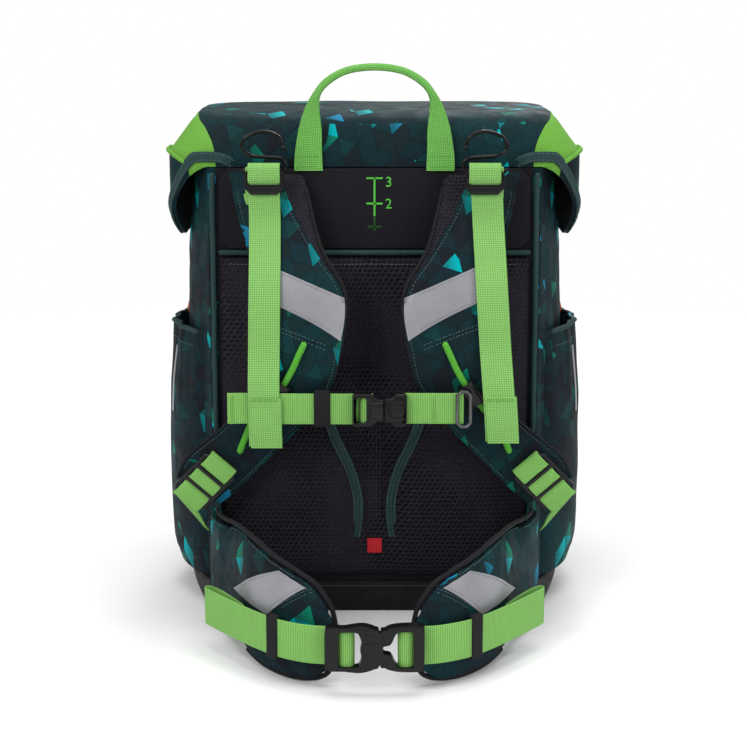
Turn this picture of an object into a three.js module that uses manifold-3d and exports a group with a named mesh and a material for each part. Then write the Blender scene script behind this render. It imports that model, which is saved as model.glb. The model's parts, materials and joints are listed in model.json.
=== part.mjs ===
// A school ransel: a framed school backpack that stands on its base tray.
// Millimetres, +Z up. The wearer's side faces -Y, and +X is on the right of whoever looks at it.
// The origin is the middle of the flat base.

import * as THREE from "three";
import { mergeVertices } from "three/addons/utils/BufferGeometryUtils.js";
import Module from "manifold-3d";

const wasm = await Module();
wasm.setup();

// Driving dimensions of the bag
const BODY_HEIGHT = 375; // base to the seam where the lid meets the back
const BODY_DEPTH = 200; // flat back to the front panel
const BACK_HALF = 136; // half the flat back, between its two piped corners
const SIDE_HALF = 160; // half the width where the sides bulge most
const FRONT_HALF = 146; // half the width where the front corners begin
const BACK_CORNER = 8; // radius of the corners beside the back
const FRONT_CORNER = 40; // radius of the corners beside the front
const CLOTH = 2.4; // laminated cloth of the shell, lid and pockets
const GAP = 0.4; // clearance between pieces that touch

// Base tray
const BOOT_HEIGHT = 26;
const BOOT_FLOOR = 3;
const BOOT_WALL = 2.5;

// Lid
const LID_HALF = 173; // half the width over the side flaps
const LID_RISE = 43; // crown of the lid above the back seam
const LID_OVERHANG = 12; // front flap in front of the body
const LID_CORNER = 45; // radius of the lid's corners seen from above
const FLAP_DROP = 57; // side flaps below the back seam
const FRONT_FLAP_DROP = 185; // front flap below the back seam
const FRONT_FLAP_HALF = 138;
const FRONT_FLAP_CORNER = 40;
const CORNER_PATCH_DEPTH = 66; // how far forward the elastic corners reach
const BINDING_RADIUS = 2.3;
const CLASP = { width: 46, height: 34, thick: 6, corner: 8 };

// Back
const PLATE_HEIGHT = 66;
const PLATE_THICK = 3;
const CUSHION_HALF = 127;
const CUSHION_PAD = 13;
const CUSHION_EDGE = 3.6;
const LUMBAR_SWELL = 4.5;
const CHANNEL_HALF = 15;
const PIPING_RADIUS = 2.2;
const ARC_RADIUS = 2.6; // the lumbar piping
const RED_TAB = { width: 12, height: 12, thick: 1 };

// Side pockets
const POCKET_HEIGHT = 212;
const POCKET_BULGE = 19;
const POCKET_BACK = -84;
const POCKET_FRONT = 62;
const GATHER = 1.3;
const ZIP_PULL = { width: 8, length: 16, thick: 1.8 };

// Straps
const WEBBING = 25; // width of the shoulder, chest and carrying webbing
const HIP_WEBBING = 30;
const WEBBING_THICK = 1.5;
const PAD_THICK = 9;
const PAD_ROUND = 4;
const FACE_THICK = 2;
const STRAP_BULGE = 54; // the pads' fronts stand this far off the flat back at most
const REFLECTOR_THICK = 0.8;
const RAIL_RADIUS = 2.6;
const HANDLE_RISE = 80; // carry handle above the back seam
const HANDLE_HALF = 52; // half the distance between the handle's legs
const HANDLE_ROLL = 6.4; // diameter of the rolled grip

// Hardware
const WIRE_RADIUS = 1.5;
const PLASTIC = 3.2; // thickness of the ladder buckles
const TOP_BUCKLE = { width: 31, height: 25, bar: 3.4 };
const LOWER_BUCKLE = { width: 33, length: 46, bar: 3.2 };
const CHEST_BUCKLE = { width: 43, height: 27, thick: 7 };
const HIP_BUCKLE = { width: 74, height: 37, thick: 9 };
const CHEST_HEIGHT = 190; // middle of the chest strap above the base
const HIP_HEIGHT = 37; // middle of the hip strap above the base

// Hip fins
const FIN_HEIGHT = 97;
const FIN_REACH = 176; // how far the fins' outsides stand in front of the flat back
const FIN_THICK = 10;

// Fineness of the faceted surfaces
const BODY_CURVE_STEPS = 4;
const LID_CORNER_STEPS = 5;
const ROW_STEPS = 2; // rows of a strap or fin for each row of its table
const CORD_SIDES = 6;

const BACK_Y = -BODY_DEPTH / 2;

// Outline of the shell at heights given as shares of the body's height.
// side and front are shares of the half width and of the half depth.
const BODY_LEVELS = [
  { height: 0.0, side: 0.93, front: 0.92 },
  { height: 0.03, side: 0.98, front: 0.97 },
  { height: 0.08, side: 1.0, front: 1.0 },
  { height: 0.3, side: 1.0, front: 1.02 },
  { height: 0.55, side: 1.0, front: 1.0 },
  { height: 0.8, side: 0.985, front: 0.96 },
  { height: 1.0, side: 0.95, front: 0.93 },
];

// Outline of the lid: rise is a share of the lid's rise above the back seam, side a share of its
// half width, and back and front are shares of the half depth.
const LID_LEVELS = [
  { rise: 0.24, side: 1.0, back: 1.0, front: 1.0 },
  { rise: 0.6, side: 0.925, back: 0.965, front: 0.97 },
  { rise: 0.86, side: 0.865, back: 0.88, front: 0.89 },
  { rise: 0.96, side: 0.81, back: 0.68, front: 0.72 },
  { rise: 1.0, side: 0.45, back: 0.3, front: 0.3 },
];

// Shoulder straps from the top down. outer and inner are places across the back as shares of its
// half width, outerZ and innerZ are shares of the body's height, lift is a share of the bulge, and
// faceOut and faceIn are the margins that the printed face leaves, as shares of the pad's width.
const STRAP_ROWS = [
  { outer: 0.877, outerZ: 0.972, inner: 0.393, innerZ: 0.986, lift: 0.25, faceOut: 0.2, faceIn: 0.36 },
  { outer: 0.83, outerZ: 0.91, inner: 0.331, innerZ: 0.908, lift: 0.46, faceOut: 0.16, faceIn: 0.36 },
  { outer: 0.766, outerZ: 0.831, inner: 0.253, innerZ: 0.829, lift: 0.7, faceOut: 0.09, faceIn: 0.18 },
  { outer: 0.722, outerZ: 0.765, inner: 0.159, innerZ: 0.765, lift: 0.89, faceOut: 0.05, faceIn: 0.06 },
  { outer: 0.699, outerZ: 0.7, inner: 0.136, innerZ: 0.704, lift: 0.98, faceOut: 0.05, faceIn: 0.05 },
  { outer: 0.69, outerZ: 0.629, inner: 0.172, innerZ: 0.629, lift: 1.0, faceOut: 0.05, faceIn: 0.05 },
  { outer: 0.718, outerZ: 0.547, inner: 0.229, innerZ: 0.547, lift: 0.93, faceOut: 0.05, faceIn: 0.05 },
  { outer: 0.868, outerZ: 0.473, inner: 0.406, innerZ: 0.459, lift: 0.78, faceOut: 0.05, faceIn: 0.05 },
  { outer: 1.009, outerZ: 0.425, inner: 0.591, innerZ: 0.382, lift: 0.63, faceOut: 0.05, faceIn: 0.05 },
  { outer: 1.149, outerZ: 0.381, inner: 0.774, innerZ: 0.31, lift: 0.53, faceOut: 0.05, faceIn: 0.05 },
  { outer: 1.21, outerZ: 0.334, inner: 0.914, innerZ: 0.266, lift: 0.45, faceOut: 0.05, faceIn: 0.05 },
];

// Hip fins from the body to the tip. out is a share of the back's half width, reach a share of the
// fins' reach, and low and high are shares of their height.
const FIN_ROWS = [
  { out: 0.985, reach: 0.03, low: 0.06, high: 0.98 },
  { out: 0.985, reach: 0.17, low: 0.03, high: 0.99 },
  { out: 0.925, reach: 0.31, low: 0.02, high: 1.0 },
  { out: 0.845, reach: 0.44, low: 0.015, high: 1.0 },
  { out: 0.765, reach: 0.6, low: 0.01, high: 1.0 },
  { out: 0.68, reach: 0.75, low: 0.01, high: 1.0 },
  { out: 0.575, reach: 0.865, low: 0.01, high: 0.98 },
  { out: 0.445, reach: 0.945, low: 0.01, high: 0.91 },
  { out: 0.31, reach: 0.985, low: 0.04, high: 0.79 },
  { out: 0.21, reach: 1.0, low: 0.17, high: 0.53 },
];

const SIDES = [
  { side: "left", sign: -1 },
  { side: "right", sign: 1 },
];

const MATERIALS = {
  print: { color: 0x1c3239, roughness: 0.55, metalness: 0 },
  mesh: { color: 0x1b181c, roughness: 0.9, metalness: 0 },
  plate: { color: 0x121013, roughness: 0.6, metalness: 0 },
  webbing: { color: 0x6fc748, roughness: 0.7, metalness: 0 },
  patch: { color: 0x76b844, roughness: 0.8, metalness: 0 },
  piping: { color: 0x14302c, roughness: 0.7, metalness: 0 },
  reflective: { color: 0xaaa8af, roughness: 0.4, metalness: 0.3 },
  plastic: { color: 0x101012, roughness: 0.35, metalness: 0 },
  wire: { color: 0x17171a, roughness: 0.2, metalness: 0.6 },
  boot: { color: 0x1a191c, roughness: 0.6, metalness: 0 },
  zip: { color: 0xc85528, roughness: 0.5, metalness: 0 },
  tab: { color: 0xbe1e2d, roughness: 0.6, metalness: 0 },
};

const UP = new THREE.Vector3(0, 0, 1);
const OUT = new THREE.Vector3(0, -1, 0);

const ransel = new THREE.Group();

// Adds one named piece.
function add(name, material, geometry) {
  const mesh = new THREE.Mesh(geometry, new THREE.MeshStandardMaterial(MATERIALS[material]));
  mesh.name = name;
  ransel.add(mesh);
  return mesh;
}

// Turns a flat piece so that its own Z runs along up and its front looks along outward.
function place(mesh, origin, up, outward) {
  const depth = outward.clone().negate();
  const right = new THREE.Vector3().crossVectors(depth, up).normalize();
  const top = new THREE.Vector3().crossVectors(right, depth).normalize();
  mesh.quaternion.setFromRotationMatrix(new THREE.Matrix4().makeBasis(right, depth.normalize(), top));
  mesh.position.copy(origin);
}

const point = (x, y, z) => new THREE.Vector3(x, y, z);
const mix = (a, b, t) => a + (b - a) * t;
const clamp = (value) => Math.min(1, Math.max(0, value));

function smooth(from, to, value) {
  const t = clamp((value - from) / (to - from));
  return t * t * (3 - 2 * t);
}

// Value of a table's column between its rows.
function readRows(rows, key, column, value) {
  const last = rows.length - 1;
  let i = 0;
  while (i < last - 1 && value > rows[i + 1][key]) i++;
  const t = (value - rows[i][key]) / (rows[i + 1][key] - rows[i][key]);
  return mix(rows[i][column], rows[i + 1][column], t);
}

// A closed surface from points and triangles, turned so that its faces look out.
function closed(points, triangles) {
  let volume = 0;
  for (const [a, b, c] of triangles) {
    volume += points[a].dot(new THREE.Vector3().crossVectors(points[b], points[c]));
  }
  const faces = volume < 0 ? triangles.map(([a, b, c]) => [a, c, b]) : triangles;
  const geometry = new THREE.BufferGeometry().setFromPoints(points);
  geometry.setIndex(faces.flat());
  geometry.computeVertexNormals();
  return geometry;
}

// A skin over rings of equal count, with both ends closed round their middles.
function loft(rings) {
  const count = rings[0].length;
  const points = rings.flat();
  const triangles = [];
  for (let r = 0; r + 1 < rings.length; r++) {
    for (let k = 0; k < count; k++) {
      const a = r * count + k;
      const b = r * count + ((k + 1) % count);
      // The diagonal always rises, so that skins over the same rings match in both directions.
      if (rings[r][0].z > rings[r + 1][0].z) triangles.push([a, b, a + count], [b, b + count, a + count]);
      else triangles.push([a, b, b + count], [a, b + count, a + count]);
    }
  }
  const lastStart = (rings.length - 1) * count;
  for (const [start, ring] of [
    [0, rings[0]],
    [lastStart, rings.at(-1)],
  ]) {
    const middle = points.push(average(ring)) - 1;
    for (let k = 0; k < count; k++) {
      const a = start + k;
      const b = start + ((k + 1) % count);
      triangles.push(start === 0 ? [middle, b, a] : [middle, a, b]);
    }
  }
  return closed(points, triangles);
}

function average(points) {
  const sum = new THREE.Vector3();
  points.forEach((p) => sum.add(p));
  return sum.divideScalar(points.length);
}

// A block between two grids of points, front and back, of the same size.
function gridBlock(front, back) {
  const rows = front.length;
  const columns = front[0].length;
  const points = [...front.flat(), ...back.flat()];
  const half = rows * columns;
  const at = (i, j) => i * columns + j;
  const triangles = [];
  for (let i = 0; i + 1 < rows; i++) {
    for (let j = 0; j + 1 < columns; j++) {
      const [a, b, c, d] = [at(i, j), at(i, j + 1), at(i + 1, j + 1), at(i + 1, j)];
      triangles.push([a, b, c], [a, c, d]);
      triangles.push([half + a, half + c, half + b], [half + a, half + d, half + c]);
    }
  }
  const rim = [];
  for (let j = 0; j + 1 < columns; j++) rim.push(at(0, j));
  for (let i = 0; i + 1 < rows; i++) rim.push(at(i, columns - 1));
  for (let j = columns - 1; j > 0; j--) rim.push(at(rows - 1, j));
  for (let i = rows - 1; i > 0; i--) rim.push(at(i, 0));
  rim.forEach((a, k) => {
    const b = rim[(k + 1) % rim.length];
    triangles.push([a, half + a, half + b], [a, half + b, b]);
  });
  return closed(points, triangles);
}

// Section of flat webbing and of a padded strap: edge 0 or 1, inset from that edge in
// millimetres, and height as a share of the thickness.
const FLAT = [
  { edge: 0, inset: 0, height: -0.5 },
  { edge: 0, inset: 0, height: 0.5 },
  { edge: 1, inset: 0, height: 0.5 },
  { edge: 1, inset: 0, height: -0.5 },
];

function rounded(inset) {
  return [
    { edge: 0, inset: 0, height: -0.2 },
    { edge: 0, inset: 0, height: 0.2 },
    { edge: 0, inset, height: 0.5 },
    { edge: 1, inset, height: 0.5 },
    { edge: 1, inset: 0, height: 0.2 },
    { edge: 1, inset: 0, height: -0.2 },
    { edge: 1, inset, height: -0.5 },
    { edge: 0, inset, height: -0.5 },
  ];
}

// A strap through rows that give its two edges a and b, its normal and its thickness.
function band(rows, section) {
  return loft(
    rows.map(({ a, b, normal, thick }) => {
      const across = b.clone().sub(a).normalize();
      return section.map(({ edge, inset, height }) => {
        const start = edge === 0 ? a : b;
        const inward = edge === 0 ? inset : -inset;
        return start.clone().addScaledVector(across, inward).addScaledVector(normal, height * thick);
      });
    }),
  );
}

// Rows for a strap along a path of middles with a fixed width direction.
function pathRows(middles, across, width, thick) {
  return middles.map((middle, i) => {
    const before = middles[Math.max(0, i - 1)];
    const after = middles[Math.min(middles.length - 1, i + 1)];
    const along = after.clone().sub(before);
    const normal = new THREE.Vector3().crossVectors(across, along).normalize();
    const a = middle.clone().addScaledVector(across, -width / 2);
    const b = middle.clone().addScaledVector(across, width / 2);
    return { a, b, normal, thick };
  });
}

// A round cord through points, with closed ends.
function tube(points, radius, steps) {
  const circle = new THREE.Shape();
  for (let k = 0; k < CORD_SIDES; k++) {
    const angle = (2 * Math.PI * k) / CORD_SIDES;
    const [x, y] = [radius * Math.cos(angle), radius * Math.sin(angle)];
    if (k === 0) circle.moveTo(x, y);
    else circle.lineTo(x, y);
  }
  circle.closePath();
  const extrudePath = new THREE.CatmullRomCurve3(points);
  return new THREE.ExtrudeGeometry(circle, { steps, extrudePath, curveSegments: 1 });
}

// A rectangle with rounded or cut corners, round a given middle.
function rectangle(width, height, corner, middleX = 0, middleY = 0) {
  const [x, y] = [width / 2, height / 2];
  const corners = [
    [x, -y + corner],
    [x, y - corner],
    [x - corner, y],
    [-x + corner, y],
    [-x, y - corner],
    [-x, -y + corner],
    [-x + corner, -y],
    [x - corner, -y],
  ];
  const shape = new THREE.Shape();
  corners.forEach(([cx, cy], k) => {
    const move = k === 0 ? "moveTo" : "lineTo";
    shape[move](middleX + cx, middleY + cy);
  });
  shape.closePath();
  return shape;
}

// A plate drawn in X and Z, whose back lies at y = 0 and whose front looks along -Y.
function plate(shape, thick, bevel = 0) {
  const geometry = new THREE.ExtrudeGeometry(shape, {
    depth: thick - 2 * bevel,
    bevelEnabled: bevel > 0,
    bevelThickness: bevel,
    bevelSize: bevel,
    bevelOffset: -bevel,
    bevelSegments: 1,
    curveSegments: 4,
  });
  return geometry.translate(0, 0, bevel).rotateX(Math.PI / 2);
}

function solidOf(geometry) {
  const bare = geometry.clone();
  bare.deleteAttribute("normal");
  bare.deleteAttribute("uv");
  const merged = mergeVertices(bare, 1e-4);
  const vertProperties = new Float32Array(merged.attributes.position.array);
  const triVerts = new Uint32Array(merged.index.array);
  return new wasm.Manifold(new wasm.Mesh({ numProp: 3, vertProperties, triVerts }));
}

function geometryOf(solid) {
  const mesh = solid.getMesh();
  const geometry = new THREE.BufferGeometry();
  geometry.setAttribute("position", new THREE.BufferAttribute(mesh.vertProperties, 3));
  geometry.setIndex(new THREE.BufferAttribute(mesh.triVerts, 1));
  geometry.computeVertexNormals();
  return geometry;
}

// Body shell and base tray

// The shell's outline at height z, grown by a given offset. The flat back keeps its place.
function bodyRing(z, grow) {
  const share = z / BODY_HEIGHT;
  const side = SIDE_HALF * readRows(BODY_LEVELS, "height", "side", share) + grow;
  const front = (BODY_DEPTH / 2) * readRows(BODY_LEVELS, "height", "front", share) + grow;
  const narrowing = side - SIDE_HALF;
  const back = BACK_HALF + grow;
  const frontHalf = FRONT_HALF + narrowing;
  const backY = BACK_Y - grow;
  const sideStart = { x: back + 0.2 * BACK_CORNER, y: backY + BACK_CORNER };
  const sideEnd = { x: frontHalf, y: front - FRONT_CORNER };
  // A cubic curve reaches an eighth of each end and three quarters of its handles at its middle.
  const handleX = (side - (sideStart.x + sideEnd.x) / 8) / 0.75;
  const reach = (sideEnd.y - sideStart.y) / 3;
  const shape = new THREE.Shape();
  shape.moveTo(0, backY);
  shape.lineTo(back - BACK_CORNER, backY);
  shape.quadraticCurveTo(back, backY, sideStart.x, sideStart.y);
  shape.bezierCurveTo(
    handleX,
    sideStart.y + reach,
    handleX,
    sideEnd.y - reach,
    sideEnd.x,
    sideEnd.y,
  );
  shape.quadraticCurveTo(frontHalf, front, frontHalf - FRONT_CORNER, front);
  shape.lineTo(0, front);
  const right = shape.getPoints(BODY_CURVE_STEPS);
  const left = right.slice(1, -1).reverse();
  return [...right.map((p) => point(p.x, p.y, z)), ...left.map((p) => point(-p.x, p.y, z))];
}

const BODY_BOTTOM = BOOT_FLOOR + GAP;
const BODY_TOP = BODY_HEIGHT - GAP;

// Heights where the shell has a ring, between two limits.
function bodyHeights(low, high) {
  const levels = [...BODY_LEVELS.map((row) => row.height * BODY_HEIGHT), BOOT_HEIGHT];
  const between = levels.filter((z) => z > low && z < high).sort((p, q) => p - q);
  return [low, ...between, high];
}

function makeBody() {
  const outside = bodyHeights(BODY_BOTTOM, BODY_TOP).map((z) => bodyRing(z, 0));
  const inside = bodyHeights(BODY_BOTTOM + CLOTH, BODY_TOP).map((z) => bodyRing(z, -CLOTH));
  add("body_shell", "print", loft([...outside, ...inside.reverse()]));
}

function makeBoot() {
  const outside = bodyHeights(0, BOOT_HEIGHT).map((z) => bodyRing(z, GAP + BOOT_WALL));
  const inside = bodyHeights(BOOT_FLOOR, BOOT_HEIGHT).map((z) => bodyRing(z, GAP));
  add("base_boot", "boot", loft([...outside, ...inside.reverse()]));
}

// Half width of the shell at a depth y and a height z, with the tray left out
function bodySideAt(y, z) {
  const ring = bodyRing(z, 0).filter((p) => p.x >= 0);
  let widest = 0;
  for (let k = 0; k + 1 < ring.length; k++) {
    const [p, q] = [ring[k], ring[k + 1]];
    if ((p.y - y) * (q.y - y) > 0 || p.y === q.y) continue;
    widest = Math.max(widest, mix(p.x, q.x, (y - p.y) / (q.y - p.y)));
  }
  return widest;
}

// Lid

const LID_BACK = BODY_DEPTH / 2 + 1;
const LID_FRONT = BODY_DEPTH / 2 + LID_OVERHANG;
const FLAP_LOW = BODY_HEIGHT - FLAP_DROP;
const FLAP_ARC = FLAP_DROP * 1.1; // depth over which a side flap falls away

// A rounded rectangle seen from above.
function lidRing(z, row, inset) {
  const half = LID_HALF * row.side - inset;
  const back = -LID_BACK * row.back + inset;
  const front = LID_FRONT * row.front - inset;
  const radius = LID_CORNER - inset;
  const middles = [
    { x: half - radius, y: back + radius, turn: -Math.PI / 2 },
    { x: half - radius, y: front - radius, turn: 0 },
    { x: -half + radius, y: front - radius, turn: Math.PI / 2 },
    { x: -half + radius, y: back + radius, turn: Math.PI },
  ];
  const ring = [];
  for (const { x, y, turn } of middles) {
    for (let k = 0; k <= LID_CORNER_STEPS; k++) {
      const angle = turn + (k * Math.PI) / 2 / LID_CORNER_STEPS;
      ring.push(point(x + radius * Math.cos(angle), y + radius * Math.sin(angle), z));
    }
  }
  return ring;
}

function lidForm(bottom, inset) {
  const rings = LID_LEVELS.map((row) => {
    const z = BODY_HEIGHT + LID_RISE * row.rise - inset;
    return lidRing(z, row, inset);
  });
  return solidOf(loft([lidRing(bottom, LID_LEVELS[0], inset), ...rings]));
}

// Height of the lid's lower edge at depth y: the side flaps fall away from the back seam in an arc.
function lidEdge(y) {
  const t = clamp((y + LID_BACK - CLOTH - GAP) / FLAP_ARC);
  return BODY_HEIGHT + GAP - FLAP_DROP * Math.sin((Math.PI / 2) * t);
}

// Everything above the lid's lower edge, with the front flap.
function lidRegion() {
  const margin = 30;
  const shape = new THREE.Shape();
  shape.moveTo(-LID_BACK - margin, BODY_HEIGHT + GAP);
  for (let k = 0; k <= 10; k++) {
    const y = -LID_BACK + CLOTH + GAP + (FLAP_ARC * k) / 10;
    shape.lineTo(y, lidEdge(y));
  }
  shape.lineTo(LID_FRONT + margin, FLAP_LOW + GAP);
  shape.lineTo(LID_FRONT + margin, BODY_HEIGHT + LID_RISE + margin);
  shape.lineTo(-LID_BACK - margin, BODY_HEIGHT + LID_RISE + margin);
  shape.closePath();
  const width = 2 * (LID_HALF + margin);
  const sides = new THREE.ExtrudeGeometry(shape, { depth: width, bevelEnabled: false });
  sides.rotateX(Math.PI / 2).rotateZ(Math.PI / 2).translate(-width / 2, 0, 0);
  const flapHeight = FRONT_FLAP_DROP;
  const middleZ = BODY_HEIGHT - flapHeight / 2;
  const flapShape = rectangle(2 * FRONT_FLAP_HALF, flapHeight, FRONT_FLAP_CORNER, 0, middleZ);
  const flap = plate(flapShape, LID_OVERHANG + margin).translate(0, LID_FRONT + margin, 0);
  return solidOf(sides).add(solidOf(flap));
}

// The elastic corner between the crown and the side flap. Its inner edge runs from the crest to
// the back seam, and its lower edge rises from the seam to the top of the flap.
function cornerRegion(sign, grow) {
  const outside = LID_HALF + 20;
  const crest = BODY_HEIGHT + LID_RISE + 20;
  const edge = [
    [LID_HALF * 0.87 - grow, crest],
    [LID_HALF * 0.845 - grow, BODY_HEIGHT + LID_RISE * 0.94],
    [LID_HALF * 0.79 - grow, BODY_HEIGHT + LID_RISE * 0.7],
    [LID_HALF * 0.745 - grow, BODY_HEIGHT + LID_RISE * 0.3],
    [LID_HALF * 0.74 - grow, BODY_HEIGHT - 20],
    [LID_HALF * 0.86, BODY_HEIGHT - 20],
    [LID_HALF * 0.88, BODY_HEIGHT + 2 - grow],
    [outside, BODY_HEIGHT + LID_RISE * 0.45 - grow],
    [outside, crest],
  ];
  const shape = new THREE.Shape();
  edge.forEach(([x, z], k) => {
    const move = k === 0 ? "moveTo" : "lineTo";
    shape[move](sign * x, z);
  });
  shape.closePath();
  const front = -LID_BACK + CORNER_PATCH_DEPTH + grow;
  return solidOf(plate(shape, CORNER_PATCH_DEPTH + 30 + grow).translate(0, front, 0));
}

function makeLid() {
  const bottom = BODY_HEIGHT - FRONT_FLAP_DROP - 20;
  const shell = lidForm(bottom, 0).subtract(lidForm(bottom - 10, CLOTH));
  const cover = shell.intersect(lidRegion());
  let crown = cover;
  for (const { side, sign } of SIDES) {
    crown = crown.subtract(cornerRegion(sign, GAP));
    const corner = cover.intersect(cornerRegion(sign, 0));
    add("lid_corner_" + side, "patch", geometryOf(corner));
  }
  add("lid", "print", geometryOf(crown));
}

// The bound edge of a side flap lies on the lid's outside: it starts on the back, rises a little
// and follows the lower edge round the corner. across is a share of the lid's half width.
const BINDING_START = [
  { across: 0.65, rise: 6 },
  { across: 0.73, rise: 9 },
];

function makeBinding(side, sign) {
  const off = BINDING_RADIUS + 2 * GAP;
  const radius = LID_CORNER + off;
  const middleX = LID_HALF - LID_CORNER;
  const middleY = -LID_BACK + LID_CORNER;
  const route = BINDING_START.map(({ across, rise }) => {
    return point(sign * across * LID_HALF, -LID_BACK - off, BODY_HEIGHT + rise);
  });
  for (const turned of [20, 38, 56, 74, 90]) {
    const angle = THREE.MathUtils.degToRad(turned - 90);
    const y = middleY + radius * Math.sin(angle);
    const lift = turned === 20 ? 2 * BINDING_RADIUS : BINDING_RADIUS;
    route.push(point(sign * (middleX + radius * Math.cos(angle)), y, lidEdge(y) + lift));
  }
  const low = FLAP_LOW + BINDING_RADIUS;
  route.push(point(sign * (LID_HALF + off), middleY + 0.4 * LID_CORNER, low));
  route.push(point(sign * (LID_HALF + off), LID_FRONT - LID_CORNER, low));
  add("lid_binding_" + side, "piping", tube(route, BINDING_RADIUS, 18));
}

function makeClasp() {
  const shape = rectangle(CLASP.width, CLASP.height, CLASP.corner);
  const mesh = add("lid_clasp", "plastic", plate(shape, CLASP.thick, 1));
  const z = BODY_HEIGHT - FRONT_FLAP_DROP + CLASP.height / 2 + 6;
  place(mesh, point(0, LID_FRONT + GAP, z), UP, OUT.clone().negate());
}

// Back plate, cushion and piping

const CUSHION_LOW = BOOT_HEIGHT + 4;
const CUSHION_HIGH = BODY_HEIGHT - PLATE_HEIGHT - 6;

function makePlate() {
  const middle = BODY_HEIGHT - PLATE_HEIGHT / 2 - GAP;
  const shape = rectangle(2 * (CUSHION_HALF - 1), PLATE_HEIGHT - 2 * GAP, 8, 0, middle);
  add("back_plate", "plate", plate(shape, PLATE_THICK, 0.8).translate(0, BACK_Y - GAP, 0));
}

// Thickness of the back cushion at a place on the back.
function cushionThickness(x, z) {
  const across = Math.abs(x) / CUSHION_HALF;
  const up = (z - CUSHION_LOW) / (CUSHION_HIGH - CUSHION_LOW);
  const edge = (1 - smooth(0.76, 0.94, across)) * smooth(0, 0.09, up) * (1 - smooth(0.93, 1, up));
  const channel = 0.5 * (1 - smooth(CHANNEL_HALF * 0.6, CHANNEL_HALF * 1.9, Math.abs(x)));
  const swell = smooth(0.06, 0.3, up) * (1 - smooth(0.36, 0.56, up)) * (1 - smooth(0.45, 0.8, across));
  const pad = CUSHION_PAD * (1 - channel) + LUMBAR_SWELL * swell * smooth(0.08, 0.3, across);
  return mix(CUSHION_EDGE, pad, edge);
}

function makeCushion() {
  const columns = 20;
  const rows = 14;
  const front = [];
  const back = [];
  for (let i = 0; i <= rows; i++) {
    const z = mix(CUSHION_LOW, CUSHION_HIGH, i / rows);
    const line = [];
    const base = [];
    for (let j = 0; j <= columns; j++) {
      const x = mix(-CUSHION_HALF, CUSHION_HALF, j / columns);
      base.push(point(x, BACK_Y - GAP, z));
      line.push(point(x, BACK_Y - GAP - cushionThickness(x, z), z));
    }
    front.push(line);
    back.push(base);
  }
  const block = solidOf(gridBlock(front, back)).simplify(0.01);
  add("back_cushion", "mesh", geometryOf(block));
}

// A point that lies on the cushion with room for a cord of the given radius.
function onCushion(x, z, radius) {
  return point(x, BACK_Y - 3 * GAP - cushionThickness(x, z) - radius, z);
}

function makeCushionTrim() {
  const seam = CUSHION_HIGH + 3;
  const seamY = BACK_Y - GAP - PIPING_RADIUS;
  const seamRoute = [-CUSHION_HALF, 0, CUSHION_HALF].map((x) => point(x, seamY, seam));
  add("cushion_piping", "piping", tube(seamRoute, PIPING_RADIUS, 2));
  for (const { side, sign } of SIDES) {
    // Share of the back's half width across and of the body's height up, from the top down.
    const arc = [
      { across: 0.285, up: 0.46 },
      { across: 0.235, up: 0.41 },
      { across: 0.16, up: 0.35 },
      { across: 0.112, up: 0.29 },
      { across: 0.1, up: 0.24 },
      { across: 0.118, up: 0.18 },
    ];
    const route = arc.map(({ across, up }) => {
      return onCushion(sign * across * BACK_HALF, up * BODY_HEIGHT, ARC_RADIUS);
    });
    add("lumbar_piping_" + side, "piping", tube(route, ARC_RADIUS, 12));
    const x = sign * (BACK_HALF - 5);
    const y = BACK_Y - GAP - PIPING_RADIUS;
    const corner = [BOOT_HEIGHT + 6, BODY_HEIGHT / 2, BODY_HEIGHT - 4].map((z) => point(x, y, z));
    add("body_piping_" + side, "piping", tube(corner, PIPING_RADIUS, 2));
  }
  const tab = plate(rectangle(RED_TAB.width, RED_TAB.height, 1), RED_TAB.thick);
  const z = 0.16 * BODY_HEIGHT;
  const mesh = add("red_tab", "tab", tab);
  place(mesh, point(0, BACK_Y - 2 * GAP - cushionThickness(RED_TAB.width / 2, z), z), UP, OUT);
}

// Side pockets and zip pulls

const POCKET_LOW = BOOT_HEIGHT + GAP;

// Bulge of a pocket as a share of its fullest, and strength of the gathers, at shares of its height.
const POCKET_LEVELS = [
  { height: 0.0, bulge: 0.62, gather: 0 },
  { height: 0.1, bulge: 0.92, gather: 0 },
  { height: 0.35, bulge: 1.0, gather: 0 },
  { height: 0.65, bulge: 0.94, gather: 0.2 },
  { height: 0.92, bulge: 0.72, gather: 0.8 },
  { height: 1.0, bulge: 0.64, gather: 1.0 },
];
const POCKET_STEPS = 16;
const POCKET_GATHERS = 5;

function pocketRing(row, sign, inset, lift) {
  const z = POCKET_LOW + POCKET_HEIGHT * row.height + lift;
  const ring = [];
  for (let k = 0; k <= POCKET_STEPS; k++) {
    const share = k / POCKET_STEPS;
    const y = mix(POCKET_BACK + inset, POCKET_FRONT - inset, share);
    const round = Math.sqrt(Math.sin(Math.PI * share));
    const ripple = GATHER * row.gather * Math.cos(2 * Math.PI * POCKET_GATHERS * share) * round;
    const bulge = POCKET_BULGE * row.bulge * round + ripple - inset;
    ring.push(point(sign * (bodySideAt(y, Math.min(z, BODY_TOP)) + bulge), y, z));
  }
  const inner = sign * BACK_HALF * 0.8;
  ring.push(point(inner, POCKET_FRONT - inset, z), point(inner, POCKET_BACK + inset, z));
  return ring;
}

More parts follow.
